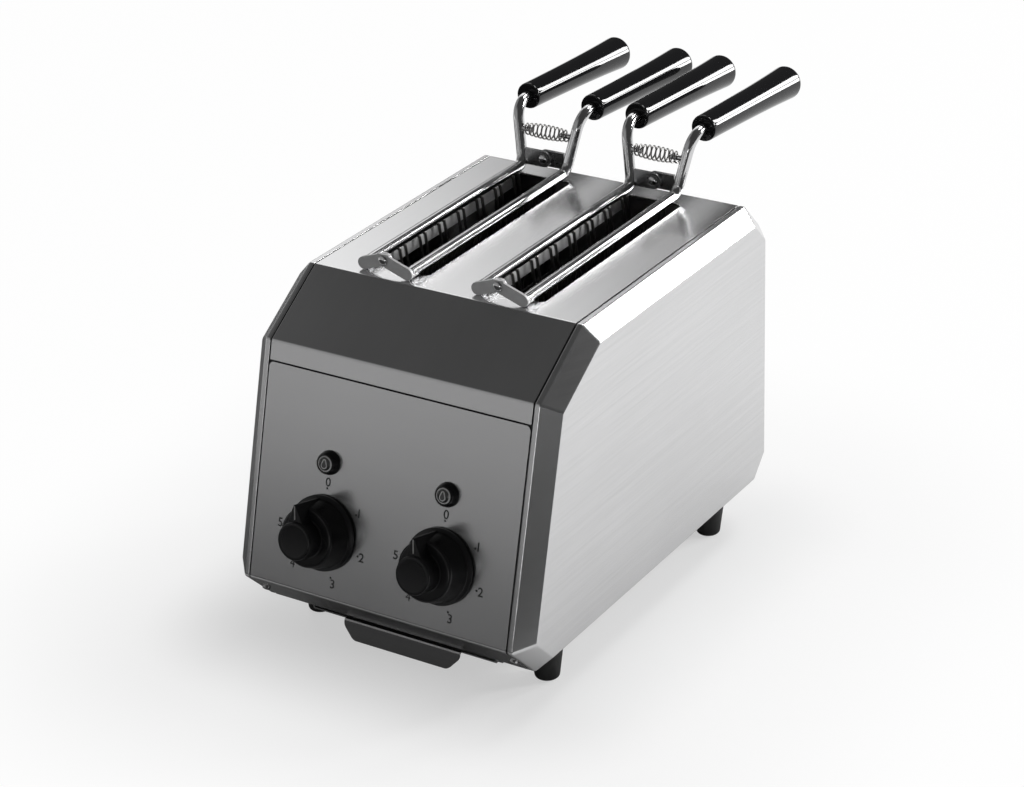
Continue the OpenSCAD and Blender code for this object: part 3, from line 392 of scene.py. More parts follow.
def look(name):
    """The finish of that name, made when it is first asked for."""
    if name not in FINISHES:
        make, source, share, *values = RECIPES[name]
        base = getattr(bpy.context.scene.toaster_finishes, source)
        FINISHES[name] = make(name, [c * share for c in base], *values)
    return FINISHES[name]


# Flat outlines and profiles


def flat(*pairs):
    return [Vector(pair) for pair in pairs]


def rectangle(xs, ys):
    (x0, x1), (y0, y1) = xs, ys
    return flat((x0, y0), (x1, y0), (x1, y1), (x0, y1))


def turn_left(v):
    return Vector((-v.y, v.x))


def cross2(a, b):
    return a.x * b.y - a.y * b.x


def neighbours(points):
    """Each point of a closed outline, between the one before and the one after."""
    return zip(points[-1:] + points[:-1], points, points[1:] + points[:1])


def inset(points, depth):
    """The anticlockwise outline moved inwards by depth."""
    out = []
    for a, b, c in neighbours(points):
        d, e = b - a, c - b
        p = b + turn_left(d.normalized()) * depth
        q = b + turn_left(e.normalized()) * depth
        out.append(p + d * (cross2(q - p, e) / cross2(d, e)))
    return out


def corner_arc(a, b, c, radius, steps):
    d, e = (b - a).normalized(), (c - b).normalized()
    turn = math.atan2(cross2(d, e), d.dot(e))
    start = b - d * radius * math.tan(abs(turn) / 2)
    centre = start + turn_left(d) * math.copysign(radius, turn)
    arm = start - centre
    return [centre + Matrix.Rotation(turn * k / steps, 2) @ arm for k in range(steps + 1)]


def round_loop(points, radius, steps=6):
    return [p for a, b, c in neighbours(points) for p in corner_arc(a, b, c, radius, steps)]


def round_path(points, radius, steps):
    out = [points[0]]
    for a, b, c in zip(points, points[1:], points[2:]):
        out.extend(corner_arc(a, b, c, radius, steps))
    return out + [points[-1]]


def arc(radius, height, across, up, turns):
    """Points round (radius, height), for turns from the outward direction."""
    return [(radius + across * math.cos(w), height + up * math.sin(w)) for w in turns]


def quarter(first, steps):
    """Turns through a right angle from first, both ends included."""
    return [first + math.pi / 2 * k / steps for k in range(steps + 1)]


def at_x(points, x):
    return [Vector((x, p.x, p.y)) for p in points]


def sheet_outline(outer, inner, bend, sheet):
    """Cross-section of a bent sheet, from the corners of its two faces."""
    return round_path(outer, bend, 8) + round_path(inner, bend - sheet, 8)[::-1]


def stadium(a, b, width):
    """Anticlockwise outline of a flat bar with round ends, from a to b."""
    across = turn_left((b - a).normalized())
    out = []
    for centre, start in ((b, -across), (a, across)):
        for k in range(15):
            out.append(centre + Matrix.Rotation(math.pi * k / 14, 2) @ start * width / 2)
    return out


class Layout:
    """Places worked out from the sizes, in the shared frame; flat points are (y, z)."""

    def __init__(self, scene):
        c = self.c = scene.toaster_casing
        k = self.k = scene.toaster_controls
        t = self.t = scene.toaster_tongs
        dial = Vector(JOINTS["left_dial_turn"]["pos_m"])
        self.slope = Vector((math.sin(c.lean), math.cos(c.lean)))
        self.y0 = dial.y - k.dial_up * self.slope.x
        self.y1 = self.y0 + c.depth
        self.floor = c.foot
        self.top = c.foot + c.height
        low = Vector((self.y0, self.floor + c.toe))
        visor = low + self.slope * c.front
        crest = Vector((visor.x + (self.top - visor.y) / math.tan(c.visor), self.top))
        # anticlockwise, seen from the right side, from the lower front bend
        self.outline = flat(
            low,
            (self.y0 + c.toe, self.floor),
            (self.y1 - c.chamfer, self.floor),
            (self.y1, self.floor + c.chamfer),
            (self.y1, self.top - c.chamfer),
            (self.y1 - c.chamfer, self.top),
            crest,
            visor,
        )
        self.inner = inset(self.outline, c.sheet)
        self.side_x = c.width / 2
        self.bevel_x = self.side_x - c.bevel_w
        self.lip_x = self.bevel_x - c.lip
        self.cover_x = self.lip_x - c.shadow
        self.slot0 = self.y0 + c.slot_back
        self.slot1 = self.slot0 + c.slot_l
        self.slot_mid = (self.slot0 + self.slot1) / 2
        self.rod_r = t.rod / 2
        self.rod_z = self.top + t.rest + self.rod_r
        self.heel_y = self.slot1 + t.heel
        self.handle_dir = Vector((0, math.cos(t.droop), -math.sin(t.droop)))
        pivots = {tong: JOINTS[tong + "_tong_left_squeeze"]["pos_m"] for tong, _ in SIDES}
        self.pivots = {tong: Vector(at) for tong, at in pivots.items()}

    def panel(self, x, up):
        """Frame on the control panel: X across, Y up the slope, Z out of the panel."""
        y, z = self.outline[0] + self.slope * up
        return Matrix.Translation((x, y, z)) @ Matrix.Rotation(math.pi / 2 - self.c.lean, 4, "X")

    def toe(self, x):
        """Frame in the middle of the chamfer under the front, Z outwards."""
        at = (x, self.y0 + self.c.toe / 2, self.floor + self.c.toe / 2)
        return Matrix.Translation(at) @ Matrix.Rotation(math.radians(135), 4, "X")

    def rear(self, x, z):
        """Frame on the rear panel, Z outwards."""
        return Matrix.Translation((x, self.y1, z)) @ Matrix.Rotation(-math.pi / 2, 4, "X")


# Mesh tools


def add_loft(bm, loops, finish=0):
    """Closed solid through loops of points."""
    rings = [[bm.verts.new(p) for p in loop] for loop in loops]
    faces = [rings[0][::-1], rings[-1]]
    for a, b in zip(rings, rings[1:]):
        for i in range(len(a)):
            j = (i + 1) % len(a)
            faces.append((a[i], a[j], b[j], b[i]))
    for face in faces:
        bm.faces.new(face).material_index = finish


def add_prism(bm, outline, place, low, high, finish=0):
    """Solid over an (x, y) outline in the frame of place."""
    add_loft(bm, [[place @ Vector((*p, z)) for p in outline] for z in (low, high)], finish)


def add_plate(bm, outline, ys, finish=0):
    """Solid over an (x, z) outline, between two ys."""
    add_loft(bm, [[Vector((x, y, z)) for x, z in outline] for y in ys], finish)


def add_lathe(bm, profile, place, segments, finish=0):
    """Solid turned from (radius, height) points, closed where the radius is nought."""
    rings = []
    for radius, height in profile:
        turns = [TAU * i / segments for i in range(segments if radius else 1)]
        circle = [Vector((radius * math.cos(w), radius * math.sin(w), height)) for w in turns]
        rings.append([bm.verts.new(place @ p) for p in circle])
    for a, b in zip(rings, rings[1:]):
        for i in range(segments):
            j = (i + 1) % segments
            corners = (a[i % len(a)], a[j % len(a)], b[j % len(b)], b[i % len(b)])
            face = [v for n, v in enumerate(corners) if v not in corners[:n]]
            if len(face) > 2:
                bm.faces.new(face).material_index = finish
    return rings


def bend_points(points, radii, steps):
    """The points with their corners bent, each with its direction of travel."""
    out = [(points[0], (points[1] - points[0]).normalized())]
    for a, b, c, radius in zip(points, points[1:], points[2:], radii):
        d, e = (b - a).normalized(), (c - b).normalized()
        turn = math.acos(max(-1.0, min(1.0, d.dot(e))))
        centre = b + (e - d).normalized() * radius / math.cos(turn / 2)
        arm = (b - d * radius * math.tan(turn / 2) - centre).normalized()
        for k in range(steps + 1):
            w = turn * k / steps
            cos, sin = math.cos(w), math.sin(w)
            out.append((centre + (arm * cos + d * sin) * radius, d * cos - arm * sin))
    out.append((points[-1], (points[-1] - points[-2]).normalized()))
    return out


def ring(point, travel, ref, radius, sides):
    e = (ref - travel * travel.dot(ref)).normalized()
    f = travel.cross(e)
    turns = [TAU * s / sides for s in range(sides)]
    return [point + (e * math.cos(w) + f * math.sin(w)) * radius for w in turns]


def add_bar(bm, points, radius, bends, ref, sides, steps, round_end=0.0):
    """Round bar through points, with a bend at each corner and softly rounded ends."""
    path = bend_points(points, bends, steps)
    loops = [ring(p, d, ref, radius, sides) for p, d in path]
    if round_end:
        (p0, d0), (p1, d1) = path[0], path[-1]
        loops[0] = ring(p0 + d0 * round_end, d0, ref, radius, sides)
        loops.insert(0, ring(p0, d0, ref, radius - round_end, sides))
        loops[-1] = ring(p1 - d1 * round_end, d1, ref, radius, sides)
        loops.append(ring(p1, d1, ref, radius - round_end, sides))
    add_loft(bm, loops)


def frame_at(at, x, y, z):
    """Matrix with its origin at a point and its axes along x, y and z."""
    return Matrix.Translation(at) @ Matrix((x, y, z)).transposed().to_4x4()


def make_piece(name, bm, looks, smooth=SMOOTH):
    bmesh.ops.remove_doubles(bm, verts=bm.verts, dist=1e-7)
    bmesh.ops.recalc_face_normals(bm, faces=bm.faces)
    mesh = bpy.data.meshes.new(name)
    bm.to_mesh(mesh)
    bm.free()
    for finish in looks:
        mesh.materials.append(look(finish))
    piece = bpy.data.objects.new(name, mesh)
    bpy.context.scene.collection.objects.link(piece)
    soften(piece, smooth)
    return piece


def soften(piece, degrees):
    piece.data.shade_smooth()
    piece.data.set_sharp_from_angle(angle=math.radians(degrees))


def modify(piece, kind, **settings):
    """Adds a modifier and turns its result into the piece's mesh."""
    modifier = piece.modifiers.new(kind, kind)
    for key, value in settings.items():
        setattr(modifier, key, value)
    depsgraph = bpy.context.evaluated_depsgraph_get()
    mesh = bpy.data.meshes.new_from_object(piece.evaluated_get(depsgraph))
    piece.modifiers.clear()
    piece.data = mesh


def round_edges(piece, width, segments=2):
    limit = math.radians(40)
    modify(piece, "BEVEL", width=width, segments=segments, limit_method="ANGLE", angle_limit=limit)
    soften(piece, SMOOTH)


def cut_away(piece, cutter):
    modify(piece, "BOOLEAN", operation="DIFFERENCE", solver="EXACT", object=cutter)
    soften(piece, SMOOTH)
    bpy.data.objects.remove(cutter)


def keep_flats(piece):
    """Leans the normals at each bend towards its larger faces, so that flat sheet stays flat."""
    modify(piece, "WEIGHTED_NORMAL", keep_sharp=True)


def dress(piece, body, slot, *nodes):
    keep_flats(piece)
    if nodes:
        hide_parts(*nodes)
    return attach(piece, body)


class ToasterOperator:
    bl_options = {"REGISTER", "UNDO"}


class MakeSidePanels(ToasterOperator, bpy.types.Operator):
    """Side panels with a bevel all round and a joggled flange"""

    bl_idname = "toaster.side_panels"
    bl_label = "Side panels"

    def execute(self, context):
        lay = Layout(context.scene)
        c = lay.c
        for name, side in SIDES:
            bm = bmesh.new()
            loops = []
            for x, depth in self.section(lay):
                loops.append(at_x(round_loop(inset(lay.outline, depth), c.bend), side * x))
            add_loft(bm, loops)
            # Faces inside the lip, and the first part of the lip's rounding, take the second, dark finish:
            # painted shade in the gap beside the covers, which also puts out the rounding's highlight
            # there.
            for face in bm.faces:
                outermost = max(abs(v.co.x) for v in face.verts)
                face.material_index = int(outermost < lay.lip_x + 0.25 * c.lip_edge)
            piece = make_piece(name + "_side_cover", bm, ["side_steel", "flange_steel"], 25)
            dress(piece, "toaster", "sheet_steel", name + "_side_panel")
        return {"FINISHED"}

    def section(self, lay):
        """From the inner face round the lip to the outer face, as (x, depth inside the outline)."""
        c = lay.c
        flange_x, lip_end = lay.lip_x - c.flange, (lay.lip_x + 2 * c.lip_edge, 0)
        sheet, deep = c.sheet, c.bevel_in + 4 * c.edge
        inside = flat((lay.side_x - sheet, deep), (lay.bevel_x, 2 * sheet))
        inside += flat((flange_x, 2 * sheet), (flange_x, sheet))
        lip = flat((lay.lip_x, sheet), (lay.lip_x, 0), lip_end)
        bevel = flat(lip_end, (lay.bevel_x, 0), (lay.side_x, c.bevel_in), (lay.side_x, deep))
        return inside + round_path(lip, c.lip_edge, 5) + round_path(bevel, c.edge, 4)[1:]


class MakeCovers(ToasterOperator, bpy.types.Operator):
    """Top cover with its visor and slots, and the control panel"""

    bl_idname = "toaster.covers"
    bl_label = "Covers"

    def execute(self, context):
        lay = Layout(context.scene)
        self.cover(lay)
        self.slot_edges(lay)
        self.panel(lay)
        return {"FINISHED"}

    def finish_sheet(self, name, bm, finish, rounding, *nodes, cutter=None):
        sheet = make_piece(name, bm, [finish])
        if cutter:
            cut_away(sheet, cutter)
        round_edges(sheet, rounding)
        dress(sheet, "toaster", "sheet_steel", *nodes)

    def cover(self, lay):
        c = lay.c
        end = lay.outline[7] - lay.slope * c.strip
        outer = [*lay.outline[4:], end]
        inner = [*lay.inner[4:], end + turn_left(-lay.slope) * c.sheet]
        profile = sheet_outline(outer, inner, c.bend, c.sheet)
        bm = bmesh.new()
        add_loft(bm, [at_x(profile, x) for x in (-lay.cover_x, lay.cover_x)])
        slots = self.slot_cutter(lay)
        self.finish_sheet("cover_sheet", bm, "cover_steel", 0.00035, "top_cover", cutter=slots)

    def slot_cutter(self, lay):
        c = lay.c
        w, l, reach = c.slot_w / 2, c.slot_l / 2, 0.01
        slot = round_loop(rectangle((-w, w), (-l, l)), c.slot_r, 10)
        bm = bmesh.new()
        for x in (-c.slot_pitch / 2, c.slot_pitch / 2):
            add_prism(bm, slot, Matrix.Translation((x, lay.slot_mid, lay.top)), -reach, reach)
        return make_piece("slot_cutter", bm, [])

    def slot_edges(self, lay):
        c = lay.c
        heights = (lay.top - c.collar, lay.top - c.sheet)
        ends = (lay.slot0 + c.slot_r, lay.slot1 - c.slot_r)
        bm = bmesh.new()
        for x in (-c.slot_pitch / 2, c.slot_pitch / 2):
            for edge in (-1, 1):
                wall = [x + edge * (c.slot_w / 2 + depth) for depth in (0, c.sheet)]
                add_plate(bm, rectangle(wall, heights), ends)
        self.finish_sheet("slot_edges", bm, "collar_steel", 0.0002)

    def panel(self, lay):
        c, out, inn = lay.c, lay.outline, lay.inner
        inward = turn_left(-lay.slope) * c.sheet
        corner = arc(lay.cover_x - c.panel_r, c.panel_r, c.panel_r, -c.panel_r, quarter(0, 8))
        loops = []
        for x, drop in [(-x, drop) for x, drop in corner] + corner[::-1]:
            end = out[7] - lay.slope * (c.strip + c.strip_gap + drop)
            profile = sheet_outline([end, *out[:2]], [end + inward, *inn[:2]], c.bend, c.sheet)
            loops.append(at_x(profile, x))
        bm = bmesh.new()
        add_loft(bm, loops)
        self.finish_sheet("dial_panel", bm, "panel_steel", 0.0003, "control_panel")


class MakeFeet(ToasterOperator, bpy.types.Operator):
    """Tapered rubber feet with a rounded tread"""

    bl_idname = "toaster.feet"
    bl_label = "Feet"

    def execute(self, context):
        low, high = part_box("feet")
        tall = high.z - low.z
        top_r, tread_r, recess_r, bore_r = 0.011, 0.00775, 0.0039, 0.0022
        recess, edge, soft = 0.008, 0.0022, 0.0006
        profile = [(recess_r, recess), (recess_r, soft), (recess_r + soft, 0.0)]
        profile += arc(tread_r - edge, edge, edge, edge, quarter(-math.pi / 2, 6))
        profile += [(top_r - soft, tall - 2 * soft), (top_r, tall - 0.0005), (top_r - 0.0004, tall)]
        profile += [(bore_r, tall), (bore_r, recess), (recess_r, recess)]
        bm = bmesh.new()
        for x in (low.x + top_r, high.x - top_r):
            for y in (low.y + top_r, high.y - top_r):
                add_lathe(bm, profile, Matrix.Translation((x, y, low.z)), 48)
        dress(make_piece("rubber_feet", bm, ["rubber"]), "toaster", "rubber", "feet")
        return {"FINISHED"}


class MakeTray(ToasterOperator, bpy.types.Operator):
    """Crumb tray's sheet, bent down in front into a flap with rounded corners"""

    bl_idname = "toaster.tray"
    bl_label = "Tray"

    def execute(self, context):
        tray = context.scene.toaster_tray
        low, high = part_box("crumb_tray")
        deep, half = high.z - low.z, tray.flap_w / 2
        crest = Vector((low.y + tray.flap_lean, high.z))
        down = Vector((-tray.flap_lean, -deep)).normalized()
        inward = turn_left(down)
        hollow = crest + (inward - down * (1 + inward.y) / down.y) * tray.sheet
        rear = flat((high.y, high.z), (high.y, high.z - tray.sheet))
        right = flat((half, 0), (half, tray.flap_side), (half - tray.flap_corner, deep))
        left = [Vector((-p.x, p.y)) for p in right]
        loops = []
        for p in round_path(left + right[::-1], tray.flap_r, 8)[1:-1]:
            end = crest - down * p.y / down.y
            outer, inner = [rear[0], crest, end], [rear[1], hollow, end + inward * tray.sheet]
            loops.append(at_x(sheet_outline(outer, inner, tray.bend, tray.sheet), p.x))
        bm = bmesh.new()
        add_loft(bm, loops)
        # The flap and the land in front take the first, darkened finish as painted shade; a band along the
        # middle of the bend takes the pale collar finish as a painted highlight; the plate behind takes the
        # inner steel.
        for face in bm.faces:
            middle = face.calc_center_median()
            sunk = (crest.y - middle.z) / tray.sheet
            painted_highlight_band = middle.y < crest.x + 0.75 * tray.bend and 0.3 < sunk < 0.95
            on_plate = middle.y > crest.x + 5 * tray.bend
            face.material_index = 2 if on_plate else int(painted_highlight_band)
        # the plate on both sides of the flap
        for xs in ((low.x, -half), (half, high.x)):
            add_plate(bm, rectangle(xs, (rear[1].y, rear[0].y)), (crest.x + tray.bend, high.y), 2)
        piece = make_piece("tray_sheet", bm, ["tray_steel", "collar_steel", "inner_steel"])
        dress(piece, "tray", "sheet_steel", "crumb_tray")
        return {"FINISHED"}


class MakeKnobs(ToasterOperator, bpy.types.Operator):
    """Skirted pointer knobs, each with a painted line on its pointer"""

    bl_idname = "toaster.knobs"
    bl_label = "Knobs"

    def execute(self, context):
        lay = Layout(context.scene)
        k = lay.k
        skirt, drum, nose = k.knob_d / 2, k.drum_d / 2, k.nose_d / 2
        hollow_r, hollow, soft = 0.019, 0.0045, 0.0004
        fillet, shoulder, crown = 0.0006, 0.0022, 0.0012
        low, dish = k.gap + 0.002, k.knob_h - 0.0002
        turns = (0.4, 0.8, 1.2, math.pi / 2)
        body = [(hollow_r, hollow), (hollow_r, k.gap + soft), (hollow_r + soft, k.gap)]
        body += [(skirt - 0.0005, k.gap), (skirt, k.gap + 0.0005), (skirt, low - soft), (skirt - soft, low)]
        body += [(drum + fillet, low + fillet), (drum, low + 0.0014), (drum - 0.0006, k.drum_h * 0.5)]
        body += [(drum - shoulder, k.drum_h - shoulder)]
        body += arc(drum - 0.0042, k.drum_h - shoulder, 0.0020, shoulder, turns)
        body += [(nose + fillet, k.drum_h), (nose, k.drum_h + fillet), (nose, k.knob_h - crown)]
        body += arc(nose - crown, k.knob_h - crown, crown, crown, turns)
        body += [(nose - 0.0028, k.knob_h), (nose - 0.0031, dish), (0.0, dish)]
        for name, side in SIDES:
            place = lay.panel(side * k.pitch / 2, k.dial_up) @ Matrix.Rotation(k.rest, 4, "Z")
            bm = bmesh.new()
            bm.faces.new(add_lathe(bm, body, place, 72)[0])
            piece = make_piece(name + "_dial_knob", bm, ["knob_black"], 34)
            dress(piece, name + "_dial", "black_plastic", name + "_knob")
            self.pointer(k, name, place)
        return {"FINISHED"}

    def pointer(self, k, name, place):
        root, tip = 0.8 * k.nose_d / 2, 0.0012
        foot, face = k.gap + 0.0025, k.knob_h - 0.002
        fin = [(-root, 0), (root, 0), (tip, k.reach - tip), (tip / 2, k.reach)]
        fin += [(-tip / 2, k.reach), (-tip, k.reach - tip)]
        bm = bmesh.new()
        add_prism(bm, fin, place, foot, face)
        piece = make_piece(name + "_pointer", bm, ["knob_black"])
        round_edges(piece, 0.0005, 3)
        dress(piece, name + "_dial", "black_plastic")
        half, start, sunk, proud = 0.00042, 0.0126, 0.0004, 0.00006
        line = rectangle((-half, half), (start, k.reach - 0.0008))
        bm = bmesh.new()
        add_prism(bm, line, place, face - sunk, face + proud)
        piece = make_piece(name + "_pointer_line", bm, ["pointer_paint"])
        dress(piece, name + "_dial", "black_plastic")


class MakeLamps(ToasterOperator, bpy.types.Operator):
    """Pilot lamps: black bezel, pale ring, and lens with a pale bulb on it"""

    bl_idname = "toaster.lamps"
    bl_label = "Lamps"

    def execute(self, context):
        lay = Layout(context.scene)
        k = lay.k
        outer, bore, tall = k.lamp_d / 2, k.lens_d / 2, k.lamp_h
        wall, barrel, clear, deep = 0.001, -0.016, 0.0001, 0.003
        rim = [(bore, barrel), (bore + wall, barrel), (bore + wall, 0.0)]
        rim += [(outer - 0.0003, 0.0), (outer, 0.0004), (outer, 0.0012)]
        rim += [(outer - 0.0010, tall - 0.0012), (outer - 0.0014, tall - 0.0005), (outer - 0.0020, tall)]
        rim += [(bore + 0.0003, tall), (bore, tall - 0.0003), (bore, barrel)]
        pale = [(0.0, tall - deep), (bore - clear, tall - deep), (bore - clear, tall - 0.0004)]
        pale += [(bore - 0.0005, tall), (bore - 0.0008, tall), (bore - 0.0009, tall - 0.0003)]
        dark = pale[-1:] + [(0.0030, tall + 0.0002), (0.0015, tall + 0.0004), (0.0, tall + 0.0005)]
        bezels, lenses = bmesh.new(), bmesh.new()
        for _, side in SIDES:
            place = lay.panel(side * k.pitch / 2, k.lamp_up)
            add_lathe(bezels, rim, place, 48)
            add_lathe(lenses, pale, place, 48, 1)
            add_lathe(lenses, dark, place, 48)
            for less, proud, finish in ((0.0, 0.0006, 1), (0.0006, 0.0007, 0)):
                bulb = self.bulb(0.0019, -0.0009, 0.0011 - less, 0.0021 - less)
                add_prism(lenses, bulb, place, tall, tall + proud, finish)
        bezel = make_piece("pilot_bezels", bezels, ["gloss_black"])
        dress(bezel, "toaster", "black_plastic", "lamp_bezels")
        lamp = make_piece("pilot_lenses", lenses, ["lamp_lens", "lens_ring"])
        dress(lamp, "toaster", "lens", "lamp_lenses")
        return {"FINISHED"}

    def bulb(self, neck, belly, neck_r, belly_r):
        """Outline round two circles, the neck's above the belly's."""
        lean = math.asin((belly_r - neck_r) / (neck - belly))
        far = math.pi - lean
        points = []
        for up, r, first, last in ((neck, neck_r, lean, far), (belly, belly_r, far, TAU + lean)):
            points += arc(0, up, r, r, [first + (last - first) * i / 14 for i in range(15)])
        return points


class MakeDialMarks(ToasterOperator, bpy.types.Operator):
    """Printed dots and figures round the dials"""

    bl_idname = "toaster.dial_marks"
    bl_label = "Dial marks"

    # place of each figure beside its dot, across and up
    BESIDE = (
        (0.0003, 0.0036),
        (0.0019, 0.0010),
        (0.0027, -0.0006),
        (0.0017, -0.0039),
        (-0.0036, -0.0019),
        (-0.0038, -0.0012),
    )
    PROUD = 0.00005
    CAPITAL = 0.7  # height of a figure, as a share of the font's size

    def execute(self, context):
        lay = Layout(context.scene)
        k = lay.k
        dot_r, sunk = 0.0007, 0.0001
        dot = [(0.0, -sunk), (dot_r, -sunk), (dot_r, self.PROUD), (0.0, self.PROUD)]
        for name, side in SIDES:
            bm = bmesh.new()
            place = lay.panel(side * k.pitch / 2, k.dial_up)
            for i, beside in enumerate(self.BESIDE):
                turn = i * k.step
                at = Vector((math.sin(turn), math.cos(turn), 0)) * k.dot_r
                add_lathe(bm, dot, place @ Matrix.Translation(at), 20)
                figure_at = place @ Matrix.Translation(at + Vector((*beside, 0)))
                self.add_figure(bm, str(i), k.figure_h, figure_at)
            piece = make_piece(name + "_dial_figures", bm, ["dial_print"])
            dress(piece, "toaster", "black_plastic")
        return {"FINISHED"}

    def add_figure(self, bm, text, height, place):
        curve = bpy.data.curves.new("figure", "FONT")
        curve.body = text
        curve.align_x = curve.align_y = "CENTER"
        curve.size = height / self.CAPITAL
        curve.extrude = self.PROUD
        curve.resolution_u = 5
        if text != "4":  # the 4's small counter would close
            curve.offset = 0.00009
        figure = bpy.data.objects.new("figure", curve)
        bpy.context.scene.collection.objects.link(figure)
        mesh = figure.to_mesh()
        mesh.transform(place)
        bm.from_mesh(mesh)
        figure.to_mesh_clear()
        bpy.data.objects.remove(figure)


class MakeTongs(ToasterOperator, bpy.types.Operator):
    """Two lift-out tongs: rods, handles, hairpin jaws, links, rivets and springs"""

    bl_idname = "toaster.tongs"
    bl_label = "Tongs"

    def execute(self, context):
        lay = Layout(context.scene)
        for tong, _ in SIDES:
            for arm, side in SIDES:
                for part in (self.rod, self.handle, self.jaw, self.links):
                    part(lay, tong, arm, side)
            self.rivets(lay, tong)
            self.spring(lay, tong)
        return {"FINISHED"}

    def dress_arm(self, piece, tong, arm, slot, node):
        dress(piece, f"{tong}_tong_{arm}_arm", slot, f"{tong}_tong_{arm}_{node}")

    def upper_bend(self, lay, tong, side):
        t = lay.t
        x = lay.pivots[tong].x + side * t.handle_spread / 2
        return Vector((x, lay.heel_y + t.back, lay.rod_z + t.rise))

    def link_y(self, lay, side):
        """Front face of an arm's front link."""
        t = lay.t
        plates = t.link_t if side < 0 else 2 * t.link_t + t.link_gap
        return lay.slot0 - t.overhang - plates

    def rear_y(self, lay):
        """Middle of the two rear links, where the uprights pass the pivot."""
        t = lay.t
        share = (lay.pivots["left"].z - lay.rod_z) / t.rise
        return lay.heel_y + t.back * share

    def rod(self, lay, tong, arm, side):
        t = lay.t
        x = lay.pivots[tong].x + side * t.spread / 2
        bend = self.upper_bend(lay, tong, side)
        in_handle, peg_l, peg_r = 0.070, 0.007, 0.0018
        points = [
            Vector((x, self.link_y(lay, side) + t.link_t, lay.rod_z)),
            Vector((x, lay.heel_y, lay.rod_z)),
            bend,
            bend + lay.handle_dir * (t.handle_gap + in_handle),
        ]
        bm = bmesh.new()
        add_bar(bm, points, lay.rod_r, (t.bend, t.grip_bend), Vector((1, 0, 0)), 28, 12, 0.0004)
        at = points[1].lerp(bend, t.spring_up / t.rise)
        peg = [at, at - Vector((side * (lay.rod_r + peg_l), 0, 0))]
        add_bar(bm, peg, peg_r, (), Vector((0, 0, 1)), 20, 1, 0.0003)
        piece = make_piece(f"{tong}_{arm}_bent_rod", bm, ["bright_wire"])
        self.dress_arm(piece, tong, arm, "tong_wire", "rod")

    def handle(self, lay, tong, arm, side):
        t = lay.t
        start = self.upper_bend(lay, tong, side) + lay.handle_dir * t.handle_gap
        r0, r1, long = t.handle_d / 2, t.handle_end / 2, t.handle_l
        socket, soft, nose, edge, steps = 0.004, 0.0004, 0.001, 0.0042, 24
        dish = long - 0.0003
        profile = [(lay.rod_r, socket), (lay.rod_r, soft), (lay.rod_r + soft, 0.0)]
        profile += [(r0 - 0.0008, 0.0), (r0 - 0.0002, 0.0003), (r0, nose)]
        for k in range(1, steps + 1):
            share = k / steps
            flare = 0.45 * share + 0.55 * share ** 3
            profile.append((r0 + (r1 - r0) * flare, nose + (long - nose - edge) * share))
        profile += arc(r1 - edge, long - edge, edge, edge, quarter(0, 8)[1:])
        profile += [(r1 * 0.45, long), (r1 * 0.43, dish), (0.0, dish)]
        x = Vector((1, 0, 0)).cross(lay.handle_dir).normalized()
        place = frame_at(start, x, lay.handle_dir.cross(x), lay.handle_dir)
        bm = bmesh.new()
        bm.faces.new(add_lathe(bm, profile, place, 56)[0])
        piece = make_piece(f"{tong}_{arm}_grip", bm, ["gloss_black"], 36)
        self.dress_arm(piece, tong, arm, "black_handle", "handle")

    def jaw(self, lay, tong, arm, side):
        t = lay.t
        x = lay.pivots[tong].x
        leg, wire = t.hairpin_w / 2, t.hairpin_d / 2
        inward, back, bead_r = 0.0026, 0.0006, 0.00125
        start = t.spread / 2 - inward
        weld = t.spread / 2 - start - wire
        weld_z = lay.rod_z - math.sqrt(lay.rod_r ** 2 - weld ** 2)
        tip = Vector((x + side * (t.tip_gap / 2 + wire), 0, lay.top - t.jaw_depth))
        head = Vector((x + side * start, 0, weld_z))
        ref = Vector((head.z - tip.z, 0, tip.x - head.x))
        bm = bmesh.new()
        for i in range(t.hairpins):
            y = lay.slot_mid - back + (i - (t.hairpins - 1) / 2) * t.hairpin_pitch
            a, b = Vector((0, y - leg, 0)), Vector((0, y + leg, 0))
            pin = [head + a, tip + a, tip + b, head + b]
            add_bar(bm, pin, wire, [leg - 0.0002] * 2, ref, 12, 8)
            for foot in (a, b):
                bead = Matrix.Translation(head + foot + Vector((side * 0.0004, 0, 0.0002)))
                bmesh.ops.create_icosphere(bm, subdivisions=2, radius=bead_r, matrix=bead)
        piece = make_piece(f"{tong}_{arm}_hairpins", bm, ["jaw_wire"], 50)
        self.dress_arm(piece, tong, arm, "tong_wire", "jaw")

    def links(self, lay, tong, arm, side):
        t = lay.t
        x, _, z = lay.pivots[tong]
        pivot = Vector((x, z))
        foot = Vector((x + side * t.spread / 2, lay.rod_z + (t.front_link - t.rod) / 2))
        bar = stadium(foot, pivot, t.front_link)
        if side > 0:  # this one is square at the pivot
            half = t.front_link / 2
            end, back = bar[:len(bar) // 2], bar[len(bar) // 2:]
            square = [pivot + Vector((half * a, half * b)) for a, b in ((1, 1), (-1, 1), (-1, -1))]
            below = self.crossing(end[-1], back[0], 1, pivot.y - half)
            above = self.crossing(end[0], back[-1], 0, pivot.x + half)
            bar = square + [below] + back + [above]
        front = self.link_y(lay, side)
        bm = bmesh.new()
